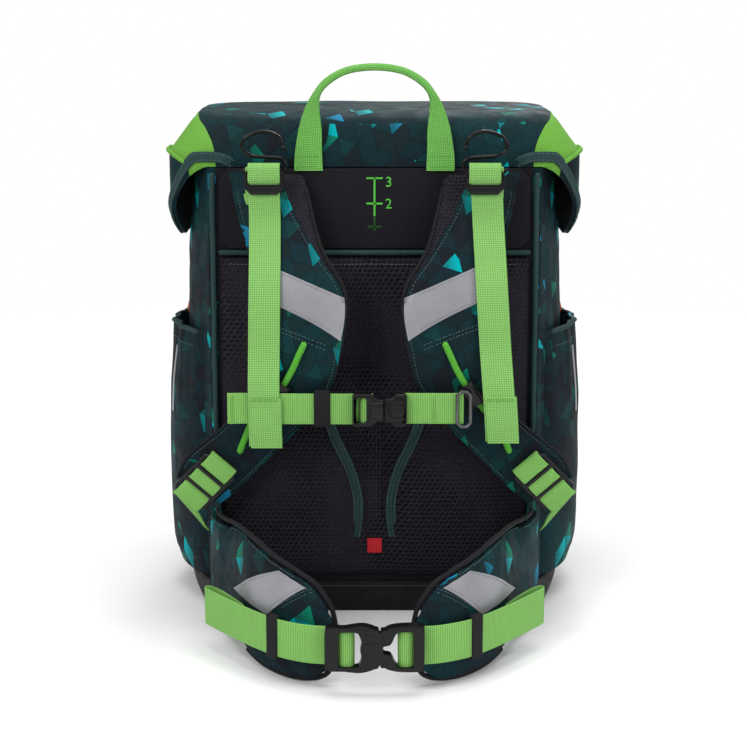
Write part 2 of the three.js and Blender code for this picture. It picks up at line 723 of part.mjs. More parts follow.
function makePocket(side, sign) {
  const outside = solidOf(loft(POCKET_LEVELS.map((row) => pocketRing(row, sign, 0, 0))));
  const insideRings = POCKET_LEVELS.map((row, i) => {
    const lift = i === 0 ? CLOTH : 0;
    return pocketRing(row, sign, CLOTH, lift);
  });
  insideRings.push(insideRings.at(-1).map((p) => p.clone().setZ(p.z + 5)));
  const heights = bodyHeights(POCKET_LOW - 10, BODY_TOP);
  const bag = solidOf(loft(heights.map((z) => bodyRing(z, GAP))));
  const wall = outside.subtract(bag).subtract(solidOf(loft(insideRings)));
  add("side_pocket_" + side, "print", geometryOf(wall));
}

function makeZipPull(side, sign) {
  const y = 20;
  const top = POCKET_LOW + POCKET_HEIGHT + 14;
  const bottom = top - ZIP_PULL.length;
  const topX = sign * (bodySideAt(y, top) + 1.6);
  const bottomX = sign * (bodySideAt(y, bottom) + 5);
  const middles = [point(topX, y, top), point(bottomX, y, bottom)];
  const rows = pathRows(middles, point(0, 1, 0), ZIP_PULL.width, ZIP_PULL.thick);
  add("zip_pull_" + side, "zip", band(rows, FLAT));
}

// Shoulder straps

// The pads' front surface: its two edges and its normal at each row of the table.
function strapRows(sign) {
  const rows = STRAP_ROWS.map((row) => {
    const y = BACK_Y - STRAP_BULGE * row.lift;
    return {
      a: point(sign * row.outer * BACK_HALF, y, row.outerZ * BODY_HEIGHT),
      b: point(sign * row.inner * BACK_HALF, y, row.innerZ * BODY_HEIGHT),
      faceOut: row.faceOut,
      faceIn: row.faceIn,
    };
  });
  return faceOutward(between(rows));
}

// Puts more rows between the table's rows, on a smooth curve through their edges.
function between(rows) {
  const edgeA = new THREE.CatmullRomCurve3(rows.map((row) => row.a));
  const edgeB = new THREE.CatmullRomCurve3(rows.map((row) => row.b));
  const dense = [];
  for (let i = 0; i <= ROW_STEPS * (rows.length - 1); i++) {
    const share = i / (ROW_STEPS * (rows.length - 1));
    const low = rows[Math.floor(i / ROW_STEPS)];
    const high = rows[Math.ceil(i / ROW_STEPS)];
    const t = (i % ROW_STEPS) / ROW_STEPS;
    dense.push({
      a: edgeA.getPoint(share),
      b: edgeB.getPoint(share),
      faceOut: mix(low.faceOut, high.faceOut, t),
      faceIn: mix(low.faceIn, high.faceIn, t),
    });
  }
  return dense;
}

// Gives each row the normal of the surface that the rows' edges span, on the wearer's side.
function faceOutward(rows) {
  return rows.map((row, i) => {
    const before = rows[Math.max(0, i - 1)];
    const after = rows[Math.min(rows.length - 1, i + 1)];
    const along = average([after.a, after.b]).sub(average([before.a, before.b]));
    const across = row.b.clone().sub(row.a);
    const normal = new THREE.Vector3().crossVectors(across, along).normalize();
    if (normal.dot(OUT) < 0) normal.negate();
    return { ...row, normal };
  });
}

// A layer on the rows' surface, between two shares of its width, with its underside at lift.
function layer(rows, from, to, thick, lift) {
  return rows.map((row, i) => {
    const shift = lift + thick / 2;
    const a = row.a.clone().lerp(row.b, from(row, i)).addScaledVector(row.normal, shift);
    const b = row.a.clone().lerp(row.b, to(row, i)).addScaledVector(row.normal, shift);
    return { a, b, normal: row.normal, thick };
  });
}

// A point at share u across and table row v along the rows' surface, raised along its normal.
function onRows(rows, u, v, lift) {
  const i = Math.min(rows.length - 2, Math.floor(v * ROW_STEPS));
  const t = v * ROW_STEPS - i;
  const a = rows[i].a.clone().lerp(rows[i + 1].a, t);
  const b = rows[i].b.clone().lerp(rows[i + 1].b, t);
  const normal = rows[i].normal.clone().lerp(rows[i + 1].normal, t).normalize();
  return a.lerp(b, u).addScaledVector(normal, lift);
}

// A thin patch on the rows' surface. corners gives u and v at its four corners, in turn.
function patch(rows, corners, steps, lift, thick) {
  const grid = (height) => {
    const lines = [];
    for (let i = 0; i <= steps; i++) {
      const line = [];
      for (let j = 0; j <= steps; j++) {
        const [s, t] = [i / steps, j / steps];
        const u = mix(mix(corners[0].u, corners[1].u, t), mix(corners[3].u, corners[2].u, t), s);
        const v = mix(mix(corners[0].v, corners[1].v, t), mix(corners[3].v, corners[2].v, t), s);
        line.push(onRows(rows, u, v, height));
      }
      lines.push(line);
    }
    return lines;
  };
  return gridBlock(grid(lift + thick), grid(lift));
}

const FACE_LIFT = 2 * GAP;
const FACE_TOP = FACE_LIFT + FACE_THICK;

function makeShoulderStrap(side, sign) {
  const rows = strapRows(sign);
  const pad = layer(rows, () => 0, () => 1, PAD_THICK, -PAD_THICK);
  add("shoulder_pad_" + side, "mesh", band(pad, rounded(PAD_ROUND)));
  const face = layer(rows, (row) => row.faceOut, (row) => 1 - row.faceIn, FACE_THICK, FACE_LIFT);
  add("shoulder_face_" + side, "print", band(face, rounded(1)));
  const strip = [
    { u: 0.07, v: 2.15 },
    { u: 0.94, v: 3.45 },
    { u: 0.93, v: 4.75 },
    { u: 0.07, v: 3.4 },
  ];
  const reflector = patch(rows, strip, 6, FACE_TOP + 1.5 * GAP, REFLECTOR_THICK);
  add("shoulder_reflector_" + side, "reflective", reflector);
  // The rail is straight in the front view, so it crosses the strap as the strap bends outwards.
  const rail = [
    { u: 0.54, v: 4.75 },
    { u: 0.45, v: 5.35 },
    { u: 0.35, v: 5.95 },
    { u: 0.32, v: 6.5 },
    { u: 0.31, v: 7.0 },
    { u: 0.42, v: 7.6 },
    { u: 0.53, v: 8.1 },
  ];
  const route = rail.map(({ u, v }) => onRows(rows, u, v, FACE_TOP + 1.5 * GAP + RAIL_RADIUS));
  add("rail_" + side, "webbing", tube(route, RAIL_RADIUS, 10));
  return { rows, rail: new THREE.CatmullRomCurve3(route) };
}

// Places on the strap's front, found by height in the photograph's view.
function strapFront(z) {
  const rows = STRAP_ROWS.map((row) => ({ down: -row.outerZ, lift: row.lift }));
  return BACK_Y - STRAP_BULGE * readRows(rows, "down", "lift", -z / BODY_HEIGHT) - FACE_TOP;
}

// Hooks, top loops, top buckles and lifter straps

const LOOP_THICK = 1.2;
const LOOP_ROOM = 2 * (WIRE_RADIUS + GAP);
const LIFTER_X = 0.64 * BACK_HALF;
const LOOP_HIGH = BODY_HEIGHT + WIRE_RADIUS + GAP;
const LOOP_LOW = BODY_HEIGHT - 27;
const LOOP_BACK_Y = strapFront(LOOP_LOW) - 3 * GAP;
const WIRE_Y = LOOP_BACK_Y - LOOP_THICK - LOOP_ROOM / 2;
const LIFTER_TOP_Y = WIRE_Y - LOOP_ROOM / 2 - LOOP_THICK - GAP - WEBBING_THICK / 2;

function makeTopLoop(side, sign) {
  const reach = LOOP_ROOM / 2 + LOOP_THICK / 2;
  const middles = [];
  middles.push(point(0, WIRE_Y + reach, LOOP_LOW), point(0, WIRE_Y + reach, BODY_HEIGHT));
  for (const angle of [45, 90, 135]) {
    const turn = THREE.MathUtils.degToRad(angle);
    const y = WIRE_Y + reach * Math.cos(turn);
    middles.push(point(0, y, BODY_HEIGHT + reach * Math.sin(turn)));
  }
  middles.push(point(0, WIRE_Y - reach, BODY_HEIGHT), point(0, WIRE_Y - reach, LOOP_LOW + 6));
  const rows = pathRows(middles, point(1, 0, 0), WEBBING * 0.96, LOOP_THICK);
  const mesh = add("top_loop_" + side, "webbing", band(rows, FLAT));
  mesh.position.set(sign * (LIFTER_X + 3), 0, 0);
}

// The wire bends into an S: an open upper loop and a straight bar that holds the webbing loop.
function makeWireHook(side, sign) {
  const bar = WEBBING / 2 + 2;
  // across is a share of the bar's half length and up a share of the bar's length.
  const bends = [
    { across: -1.1, up: 0.62 },
    { across: -0.9, up: 0.9 },
    { across: -0.1, up: 1.06 },
    { across: 0.85, up: 0.92 },
    { across: 1.15, up: 0.64 },
    { across: 0.7, up: 0.42 },
    { across: -0.1, up: 0.37 },
    { across: -0.95, up: 0.33 },
    { across: -1.22, up: 0.15 },
    { across: -1.0, up: 0.0 },
    { across: 0.0, up: 0.0 },
    { across: 1.05, up: 0.0 },
  ];
  const x = LIFTER_X + 1;
  const route = bends.map(({ across, up }) => {
    return point(sign * (x + across * bar), WIRE_Y, BODY_HEIGHT + up * 2 * bar);
  });
  add("wire_hook_" + side, "wire", tube(route, WIRE_RADIUS, 34));
}

function makeTopBuckle(side, sign) {
  const { width, height, bar } = TOP_BUCKLE;
  const shape = rectangle(width, height, 5);
  shape.holes.push(rectangle(width - 2 * bar, height * 0.52, 2, 0, height * 0.1));
  const mesh = add("top_buckle_" + side, "plastic", plate(shape, PLASTIC, 0.6));
  const y = LIFTER_TOP_Y - WEBBING_THICK / 2 - GAP;
  mesh.position.set(sign * LIFTER_X, y, BODY_HEIGHT - 0.35 * height);
}

// The lifter strap leaves the buckle, lies on the shoulder strap and hangs over the chest strap.
// It leans by a share of its drop, as it hangs in the photograph: LIFTER_LEAN for each side.
const LIFTER_LEAN = { left: 0.0, right: 0.062 };

function makeLifterStrap(side, sign) {
  const lie = REFLECTOR_THICK + 5.5 * GAP + WEBBING_THICK / 2;
  const heights = [0.9, 0.831, 0.765, 0.7, 0.629];
  const top = BODY_HEIGHT + 0.01 * BODY_HEIGHT;
  const middles = [point(0, LIFTER_TOP_Y, top), point(0, LIFTER_TOP_Y, BODY_HEIGHT * 0.935)];
  for (const share of heights) {
    const z = share * BODY_HEIGHT;
    middles.push(point(0, Math.min(LIFTER_TOP_Y, strapFront(z) - lie), z));
  }
  const chestY = CHEST_Y - WEBBING_THICK - 2 * GAP;
  middles.push(point(0, chestY, CHEST_HEIGHT + WEBBING / 2 + 4));
  middles.push(point(0, chestY, CHEST_HEIGHT - WEBBING / 2));
  middles.push(point(0, chestY + 2, CHEST_HEIGHT - WEBBING / 2 - 18));
  middles.forEach((p) => {
    p.x = sign * LIFTER_X + LIFTER_LEAN[side] * (top - p.z);
  });
  const rows = pathRows(middles, point(1, 0, 0), WEBBING, WEBBING_THICK);
  add("lifter_strap_" + side, "webbing", band(rows, FLAT));
}

// Chest strap

const SLIDER = { width: 13, depth: 9, wall: 2.2, length: 20 };
const SLIDER_HEIGHT = CHEST_HEIGHT + 11;
const CHEST_Y = strapFront(SLIDER_HEIGHT) - SLIDER.depth - 5.5 * GAP - WEBBING_THICK / 2;
const CHEST_RING = { width: 13, height: 31, bar: 2.6, thick: 2.6 };

// A clip that straddles the rail: a channel open towards the strap, bored along the rail.
function makeSlider(side, rail, rows) {
  const half = SLIDER.width / 2;
  const inner = RAIL_RADIUS + 2 * GAP;
  const roof = SLIDER.depth - SLIDER.wall;
  const shape = new THREE.Shape();
  shape.moveTo(-half, 0);
  shape.lineTo(-half, -roof);
  shape.lineTo(-half + SLIDER.wall, -SLIDER.depth);
  shape.lineTo(half - SLIDER.wall, -SLIDER.depth);
  shape.lineTo(half, -roof);
  shape.lineTo(half, 0);
  shape.lineTo(inner, 0);
  shape.lineTo(inner, -roof);
  shape.lineTo(-inner, -roof);
  shape.lineTo(-inner, 0);
  shape.closePath();
  const block = new THREE.ExtrudeGeometry(shape, { depth: SLIDER.length, bevelEnabled: false });
  block.translate(0, RAIL_RADIUS - 0.5 * GAP, -SLIDER.length / 2);
  const share = shareAtHeight(rail, SLIDER_HEIGHT);
  const mesh = add("chest_slider_" + side, "plastic", block);
  const outward = onRows(rows, 0.33, 6.15, 1).sub(onRows(rows, 0.33, 6.15, 0));
  const up = rail.getTangent(share).negate();
  outward.addScaledVector(up, -outward.dot(up));
  place(mesh, rail.getPoint(share), up, outward.normalize());
}

// Share of a falling curve at which it passes a height.
function shareAtHeight(curve, z) {
  let [from, to] = [0, 1];
  for (let k = 0; k < 20; k++) {
    const middle = (from + to) / 2;
    if (curve.getPoint(middle).z > z) from = middle;
    else to = middle;
  }
  return from;
}

function makeChestStrap() {
  const half = CHEST_BUCKLE.width / 2;
  const middle = 0.03 * BACK_HALF;
  const leftEnd = -0.857 * BACK_HALF;
  const rightEnd = 0.52 * BACK_HALF;
  const bandY = CHEST_Y;
  const strip = (name, fromX, toX) => {
    const middles = [fromX, mix(fromX, toX, 0.5), toX].map((x) => point(x, bandY, CHEST_HEIGHT));
    add(name, "webbing", band(pathRows(middles, UP, WEBBING, WEBBING_THICK), FLAT));
  };
  strip("chest_webbing_left", leftEnd, middle - half * 0.45);
  strip("chest_webbing_right", middle + half * 0.75, rightEnd);
  // Elastic keeper round the left webbing.
  const keeper = rectangle(WEBBING + 5, WEBBING_THICK + 5, 1);
  keeper.holes.push(rectangle(WEBBING + 3 * GAP, WEBBING_THICK + 3 * GAP, 0.3));
  const sleeve = new THREE.ExtrudeGeometry(keeper, { depth: 13, bevelEnabled: false });
  const mesh = add("chest_keeper", "mesh", sleeve.rotateY(Math.PI / 2));
  mesh.position.set(-0.353 * BACK_HALF, bandY, CHEST_HEIGHT);
  sideRelease("chest", CHEST_BUCKLE, middle, point(0, bandY, CHEST_HEIGHT), 0.15);
  const ring = rectangle(CHEST_RING.width, CHEST_RING.height, 4);
  const rim = 2 * CHEST_RING.bar;
  ring.holes.push(rectangle(CHEST_RING.width - rim, CHEST_RING.height - rim, 2));
  const link = add("chest_ring", "wire", plate(ring, CHEST_RING.thick, 0.6));
  link.position.set(rightEnd, bandY - WEBBING_THICK / 2 - GAP, CHEST_HEIGHT);
}

// A side-release buckle in two halves in front of its webbing. The socket is on the left and has a
// waist. The plug is on the right and has a bar at its end.
function sideRelease(name, size, middle, strap, overlap) {
  const [w, h] = [size.width / 2, size.height / 2];
  const bar = size.height * 0.13;
  const split = overlap * w;
  const draw = (points) => {
    const shape = new THREE.Shape();
    points.forEach(([x, y], k) => {
      const move = k === 0 ? "moveTo" : "lineTo";
      shape[move](x, y);
    });
    shape.closePath();
    return shape;
  };
  // Outlines from the waist outwards, as shares of half the buckle's width and height.
  const socketHalf = [
    [split - GAP, 0.62 * h],
    [-0.1 * w, 0.7 * h],
    [-0.32 * w, 0.98 * h],
    [-0.92 * w, 1.0 * h],
    [-1.0 * w, 0.9 * h],
  ];
  const plugHalf = [
    [split + GAP, 0.5 * h],
    [0.42 * w, 0.8 * h],
    [0.6 * w, 1.0 * h],
    [0.94 * w, 0.98 * h],
    [1.0 * w, 0.88 * h],
  ];
  const both = (half) => [...half, ...half.map(([x, y]) => [x, -y]).reverse()];
  const socket = draw(both(socketHalf));
  const window = size.height - 2 * bar;
  const slot = size.width * 0.19;
  socket.holes.push(rectangle(slot, window, 1.5, -0.68 * w, 0));
  const plug = draw(both(plugHalf));
  plug.holes.push(rectangle(slot, window, 1.5, 0.7 * w, 0));
  const y = strap.y - WEBBING_THICK / 2 - GAP;
  for (const [part, shape] of [
    ["socket", socket],
    ["plug", plug],
  ]) {
    const mesh = add(name + "_buckle_" + part, "plastic", plate(shape, size.thick, 0.9));
    mesh.position.set(middle, y, strap.z);
  }
}

// Lower buckles and their webbing

function makeLowerBuckle(side, sign, rows) {
  const { width, length, bar } = LOWER_BUCKLE;
  const start = onRows(rows, 0.45, 7.9, FACE_TOP + GAP);
  const end = onRows(rows, 0.45, 10, FACE_TOP + GAP);
  const travel = end.clone().sub(start).normalize();
  const acrossRow = rows[9 * ROW_STEPS].b.clone().sub(rows[9 * ROW_STEPS].a);
  const outward = new THREE.Vector3().crossVectors(acrossRow, travel).normalize();
  if (outward.dot(OUT) < 0) outward.negate();
  const across = new THREE.Vector3().crossVectors(outward, travel).normalize();
  const origin = end.clone().addScaledVector(travel, -length * 0.28);
  // Three windows, so the webbing shows as three folds between two cross bars.
  const windowLength = (length - 4 * bar) / 3;
  const shape = rectangle(width, length, 4);
  const windows = [-1, 0, 1].map((k) => k * (windowLength + bar));
  windows.forEach((z) => shape.holes.push(rectangle(width - 2 * bar, windowLength, 1.5, 0, z)));
  const frame = add("lower_buckle_" + side, "plastic", plate(shape, PLASTIC, 0.6));
  const under = WEBBING_THICK + 2 * GAP;
  place(frame, origin.clone().addScaledVector(outward, under), travel.clone().negate(), outward);
  // The webbing rises through each window and dips under each bar.
  const low = GAP + WEBBING_THICK / 2;
  const high = under + PLASTIC + 0.6;
  const middles = [];
  const pass = (along, height) => {
    middles.push(origin.clone().addScaledVector(travel, along).addScaledVector(outward, height));
  };
  pass(-length / 2 - 4, low);
  for (const z of windows) {
    const reach = windowLength / 2 - 1.5;
    pass(z - reach - 0.6, low);
    pass(z - reach + 2.2, high);
    pass(z + reach - 2.2, high);
    pass(z + reach + 0.6, low);
  }
  pass(length / 2 + 3, low);
  const webbing = pathRows(middles, across, WEBBING - 1, WEBBING_THICK);
  // Beyond the buckle the webbing turns edge on and runs down to the corner of the bag.
  const corner = point(sign * 1.03 * BACK_HALF, BACK_Y - 9, 0.2 * BODY_HEIGHT);
  const last = middles.at(-1);
  for (const { share, width: w } of [
    { share: 0.45, width: 0.6 },
    { share: 1.0, width: 0.25 },
  ]) {
    const middle = last.clone().lerp(corner, share);
    const a = middle.clone().addScaledVector(across, (-w * WEBBING) / 2);
    const b = middle.clone().addScaledVector(across, (w * WEBBING) / 2);
    webbing.push({ a, b, normal: webbing.at(-1).normal, thick: WEBBING_THICK });
  }
  add("lower_webbing_" + side, "webbing", band(webbing, FLAT));
}

// Hip fins, hip strap and hip buckle

// Rows of a fin's outer surface, from its lower edge a to its upper edge b.
function finRows(sign) {
  const table = FIN_ROWS.map((row) => {
    const x = sign * row.out * BACK_HALF;
    const y = BACK_Y - row.reach * FIN_REACH;
    const a = point(x, y, row.low * FIN_HEIGHT);
    const b = point(x, y, row.high * FIN_HEIGHT);
    return { a, b, faceOut: 0, faceIn: 0 };
  });
  const rows = between(table);
  return rows.map((row, i) => {
    const before = rows[Math.max(0, i - 1)];
    const after = rows[Math.min(rows.length - 1, i + 1)];
    const along = after.a.clone().sub(before.a).setZ(0).normalize();
    const normal = new THREE.Vector3().crossVectors(along, UP).multiplyScalar(-sign);
    return { ...row, normal };
  });
}

function makeFin(side, sign) {
  const rows = finRows(sign);
  const pad = layer(rows, () => 0, () => 1, FIN_THICK, -FIN_THICK);
  add("hip_fin_" + side, "print", band(pad, rounded(PAD_ROUND)));
  const strip = [
    { u: 0.93, v: 6.35 },
    { u: 0.93, v: 7.7 },
    { u: 0.56, v: 5.75 },
    { u: 0.56, v: 3.7 },
  ];
  add("fin_reflector_" + side, "reflective", patch(rows, strip, 8, 2 * GAP, REFLECTOR_THICK));
}

const HIP_BUCKLE_Y = BACK_Y - FIN_REACH - 8;

// The strap runs from the buckle along the fin to a fold, and back to the fin's face. out is a share
// of the back's half width and reach a share of the fins' reach.
const HIP_ROUTE = [
  { out: 0.13, reach: 1.045 },
  { out: 0.26, reach: 1.045 },
  { out: 0.38, reach: 1.025 },
  { out: 0.52, reach: 0.965 },
  { out: 0.66, reach: 0.86 },
  { out: 0.82, reach: 0.71 },
  { out: 0.95, reach: 0.575 },
  { out: 0.985, reach: 0.53 },
  { out: 0.965, reach: 0.51 },
  { out: 0.89, reach: 0.53 },
];

function makeHipStrap(side, sign) {
  const fin = finRows(sign);
  const middles = HIP_ROUTE.map(({ out, reach }) => {
    return point(sign * out * BACK_HALF, BACK_Y - reach * FIN_REACH, HIP_HEIGHT);
  });
  for (const v of [4.1, 4.8, 5.4]) {
    middles.push(onRows(fin, 0.4, v, WEBBING_THICK / 2 + 1.5 * GAP).setZ(HIP_HEIGHT));
  }
  const rows = pathRows(middles, UP, HIP_WEBBING, WEBBING_THICK);
  add("hip_webbing_" + side, "webbing", band(rows, FLAT));
  const sleeve = rectangle(HIP_WEBBING + 5, WEBBING_THICK + 5, 1);
  sleeve.holes.push(rectangle(HIP_WEBBING + 3 * GAP, WEBBING_THICK + 3 * GAP, 0.3));
  const keeper = new THREE.ExtrudeGeometry(sleeve, { depth: 11, bevelEnabled: false });
  keeper.translate(0, 0, -5.5).rotateY(Math.PI / 2);
  const mesh = add("hip_keeper_" + side, "mesh", keeper);
  const [from, to] = [middles[3], middles[4]];
  const along = to.clone().sub(from);
  mesh.position.copy(from.clone().lerp(to, 0.3));
  mesh.rotation.z = Math.atan2(along.y, along.x);
}

// Carry handle

// Half of the handle from its sewn foot to the top of the grip. out is a share of the distance to
// the legs, up a share of the rise, and width and thick are in millimetres.
const HANDLE_ROWS = [
  { out: 1.02, up: -0.1, width: WEBBING * 0.92, thick: 2 },
  { out: 1.02, up: 0.1, width: WEBBING * 0.88, thick: 2 },
  { out: 0.99, up: 0.38, width: WEBBING * 0.74, thick: 2.6 },
  { out: 0.955, up: 0.58, width: WEBBING * 0.48, thick: 4 },
  { out: 0.88, up: 0.735, width: HANDLE_ROLL, thick: HANDLE_ROLL },
  { out: 0.72, up: 0.86, width: HANDLE_ROLL * 0.95, thick: HANDLE_ROLL },
  { out: 0.42, up: 0.965, width: HANDLE_ROLL * 0.9, thick: HANDLE_ROLL },
  { out: 0.0, up: 1.0, width: HANDLE_ROLL * 0.9, thick: HANDLE_ROLL },
];

function makeHandle() {
  const half = HANDLE_ROWS.map((row) => ({ ...row, sign: -1 }));
  const rest = HANDLE_ROWS.slice(0, -1).map((row) => ({ ...row, sign: 1 }));
  const all = [...half, ...rest.reverse()];
  const y = BACK_Y - GAP - PLATE_THICK - GAP - 1;
  const middles = all.map(({ out, up, sign }) => {
    return point(sign * out * HANDLE_HALF, y, BODY_HEIGHT + up * HANDLE_RISE);
  });
  const rows = all.map(({ width, thick }, i) => {
    const before = middles[Math.max(0, i - 1)];
    const after = middles[Math.min(middles.length - 1, i + 1)];
    const along = after.clone().sub(before).normalize();
    const across = new THREE.Vector3().crossVectors(along, OUT).normalize();
    const shift = OUT.clone().multiplyScalar(thick / 2 - 1);
    const middle = middles[i].clone().add(shift);
    const a = middle.clone().addScaledVector(across, -width / 2);
    const b = middle.clone().addScaledVector(across, width / 2);
    return { a, b, normal: OUT, thick };
  });
  add("carry_handle", "webbing", band(rows, rounded(1.2)));
}

makeBody();
makeBoot();
makeLid();
makeClasp();
makePlate();
makeCushion();
makeCushionTrim();
makeHandle();
for (const { side, sign } of SIDES) {
  makeBinding(side, sign);
  makePocket(side, sign);
  makeZipPull(side, sign);
  const { rows, rail } = makeShoulderStrap(side, sign);
  makeTopLoop(side, sign);
  makeWireHook(side, sign);
  makeTopBuckle(side, sign);
  makeLifterStrap(side, sign);
  makeSlider(side, rail, rows);
  makeLowerBuckle(side, sign, rows);
  makeFin(side, sign);
  makeHipStrap(side, sign);
}
makeChestStrap();
sideRelease("hip", HIP_BUCKLE, 0, point(0, HIP_BUCKLE_Y, HIP_HEIGHT), 0.1);

export default ransel;
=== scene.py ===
"""Looks of a school ransel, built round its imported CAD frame. Shapes are worked out in millimetres."""
import json
import math

import bmesh
import bpy
import numpy as np
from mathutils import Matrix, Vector
from mathutils.bvhtree import BVHTree
from mathutils.noise import noise

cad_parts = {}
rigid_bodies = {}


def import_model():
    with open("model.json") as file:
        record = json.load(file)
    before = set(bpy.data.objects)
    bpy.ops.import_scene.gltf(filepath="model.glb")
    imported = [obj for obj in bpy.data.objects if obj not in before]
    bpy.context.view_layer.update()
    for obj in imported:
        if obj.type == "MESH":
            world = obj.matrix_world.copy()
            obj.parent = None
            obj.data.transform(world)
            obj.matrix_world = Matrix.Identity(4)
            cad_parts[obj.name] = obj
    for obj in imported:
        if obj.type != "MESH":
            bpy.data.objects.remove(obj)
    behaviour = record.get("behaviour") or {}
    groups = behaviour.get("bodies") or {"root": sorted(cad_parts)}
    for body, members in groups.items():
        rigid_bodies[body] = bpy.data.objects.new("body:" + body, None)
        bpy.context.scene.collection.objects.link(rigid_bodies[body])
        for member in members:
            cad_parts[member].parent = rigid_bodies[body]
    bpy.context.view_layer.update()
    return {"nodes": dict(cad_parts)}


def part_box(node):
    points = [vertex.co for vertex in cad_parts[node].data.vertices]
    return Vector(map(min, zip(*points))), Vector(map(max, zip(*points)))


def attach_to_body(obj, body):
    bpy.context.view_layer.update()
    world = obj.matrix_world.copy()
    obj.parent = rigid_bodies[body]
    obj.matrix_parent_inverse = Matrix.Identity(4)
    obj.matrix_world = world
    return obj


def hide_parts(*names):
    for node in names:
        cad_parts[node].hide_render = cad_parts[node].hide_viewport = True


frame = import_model()
NODES = frame["nodes"]
SIDES = (("left", -1), ("right", 1))

# Sizes shared with the CAD source, in millimetres
BODY_HEIGHT, BODY_DEPTH = 375, 200
BACK_HALF, SIDE_HALF, FRONT_HALF = 136, 160, 146
BACK_CORNER, FRONT_CORNER = 8, 40
CLOTH, GAP = 2.4, 0.4
BOOT_HEIGHT, BOOT_FLOOR, BOOT_WALL = 26, 3, 2.5
LID_HALF, LID_RISE, LID_OVERHANG, LID_CORNER = 173, 43, 12, 45
FLAP_DROP, FRONT_FLAP_DROP, FRONT_FLAP_HALF, FRONT_FLAP_CORNER = 57, 185, 138, 40
CORNER_PATCH_DEPTH = 66
PLATE_HEIGHT, PLATE_THICK = 66, 3
CUSHION_HALF, CUSHION_PAD, CUSHION_EDGE = 127, 13, 5.6
LUMBAR_SWELL, CHANNEL_HALF = 4.5, 15
PIPING_RADIUS = 2.2
POCKET_HEIGHT, POCKET_BULGE, POCKET_BACK, POCKET_FRONT = 212, 19, -84, 62
WEBBING, HIP_WEBBING, WEBBING_THICK = 25, 30, 1.5
PAD_THICK, FACE_THICK, STRAP_BULGE = 9, 2, 54
RAIL_RADIUS, WIRE_RADIUS = 2.6, 1.5
HANDLE_RISE, HANDLE_HALF = 80, 52
CHEST_HEIGHT, HIP_HEIGHT = 190, 37
FIN_HEIGHT, FIN_REACH, FIN_THICK = 97, 176, 10
BACK_Y = -BODY_DEPTH / 2
RIGHT = np.array((1.0, 0.0, 0.0))
UP = np.array((0.0, 0.0, 1.0))
OUT = np.array((0.0, -1.0, 0.0))  # from the bag's back to the wearer
MM = 0.001  # metres in a millimetre
IN_MM = 1000  # millimetres in a metre

# Shares of the body's height, half width and half depth
BODY_LEVELS = np.array([
    (0.0, 0.93, 0.92), (0.03, 0.98, 0.97), (0.08, 1.0, 1.0), (0.3, 1.0, 1.02),
    (0.55, 1.0, 1.0), (0.8, 0.985, 0.96), (1.0, 0.95, 0.93),
])
# Rise, half width, back and front of the lid, as shares
LID_LEVELS = np.array([
    (0.24, 1.0, 1.0, 1.0), (0.6, 0.925, 0.965, 0.97), (0.86, 0.865, 0.88, 0.89),
    (0.96, 0.81, 0.68, 0.72), (1.0, 0.45, 0.3, 0.3),
])
# outer, outer height, inner, inner height, lift, outer margin and inner margin of the printed face
STRAP_ROWS = np.array([
    (0.88, 0.992, 0.4, 0.998, 0.25, 0.05, 0.36), (0.83, 0.91, 0.331, 0.908, 0.46, 0.05, 0.27),
    (0.766, 0.831, 0.253, 0.829, 0.7, 0.05, 0.16), (0.722, 0.765, 0.159, 0.765, 0.89, 0.05, 0.08),
    (0.699, 0.7, 0.136, 0.704, 0.98, 0.05, 0.05), (0.69, 0.629, 0.172, 0.629, 1.0, 0.05, 0.05),
    (0.718, 0.547, 0.229, 0.547, 0.93, 0.05, 0.05), (0.868, 0.473, 0.406, 0.459, 0.78, 0.05, 0.05),
    (1.009, 0.425, 0.591, 0.382, 0.63, 0.05, 0.05), (1.149, 0.381, 0.774, 0.31, 0.53, 0.05, 0.05),
    (1.21, 0.334, 0.914, 0.266, 0.45, 0.05, 0.05),
])
# out, reach, low and high of the hip fins, as shares
FIN_ROWS = np.array([
    (0.985, 0.03, 0.06, 0.98), (0.985, 0.17, 0.03, 0.99), (0.925, 0.31, 0.02, 1.0),
    (0.845, 0.44, 0.015, 1.025), (0.765, 0.6, 0.01, 1.04), (0.68, 0.75, 0.01, 1.035),
    (0.575, 0.865, 0.01, 0.98), (0.445, 0.945, 0.01, 0.91), (0.31, 0.985, 0.04, 0.79),
    (0.21, 1.0, 0.17, 0.53),
])
# height, bulge and strength of the gathers of the side pockets
POCKET_LEVELS = np.array([
    (0.0, 0.62, 0), (0.1, 0.92, 0), (0.35, 1.0, 0), (0.65, 0.94, 0.2), (0.92, 0.72, 0.8), (1.0, 0.64, 1.0),
])
# out, up, width and thickness of the carry handle from its foot to its crown
HANDLE_ROWS = np.array([
    (1.02, -0.03, 23.0, 2.0), (1.02, 0.12, 22.0, 2.0), (0.99, 0.38, 18.5, 2.6), (0.955, 0.58, 12.0, 4.0),
    (0.88, 0.735, 6.4, 6.4), (0.72, 0.86, 6.1, 6.4), (0.42, 0.965, 5.8, 6.4), (0.0, 1.0, 5.8, 6.4),
])
# out and up of the lumbar bands
LUMBAR_BOW = (0.285, 0.46), (0.235, 0.41), (0.16, 0.35), (0.112, 0.29), (0.1, 0.24), (0.118, 0.18)
# table column and row of the rails, from top to bottom
RAIL_BOW = (0.54, 4.75), (0.45, 5.35), (0.35, 5.95), (0.32, 6.5), (0.31, 7.0), (0.42, 7.6), (0.53, 8.1)
# out and reach of the hip webbing
HIP_ROUTE = (
    (0.13, 1.045), (0.26, 1.045), (0.38, 1.025), (0.52, 0.965), (0.66, 0.86),
    (0.82, 0.71), (0.95, 0.575), (0.985, 0.53), (0.965, 0.51), (0.89, 0.53),
)


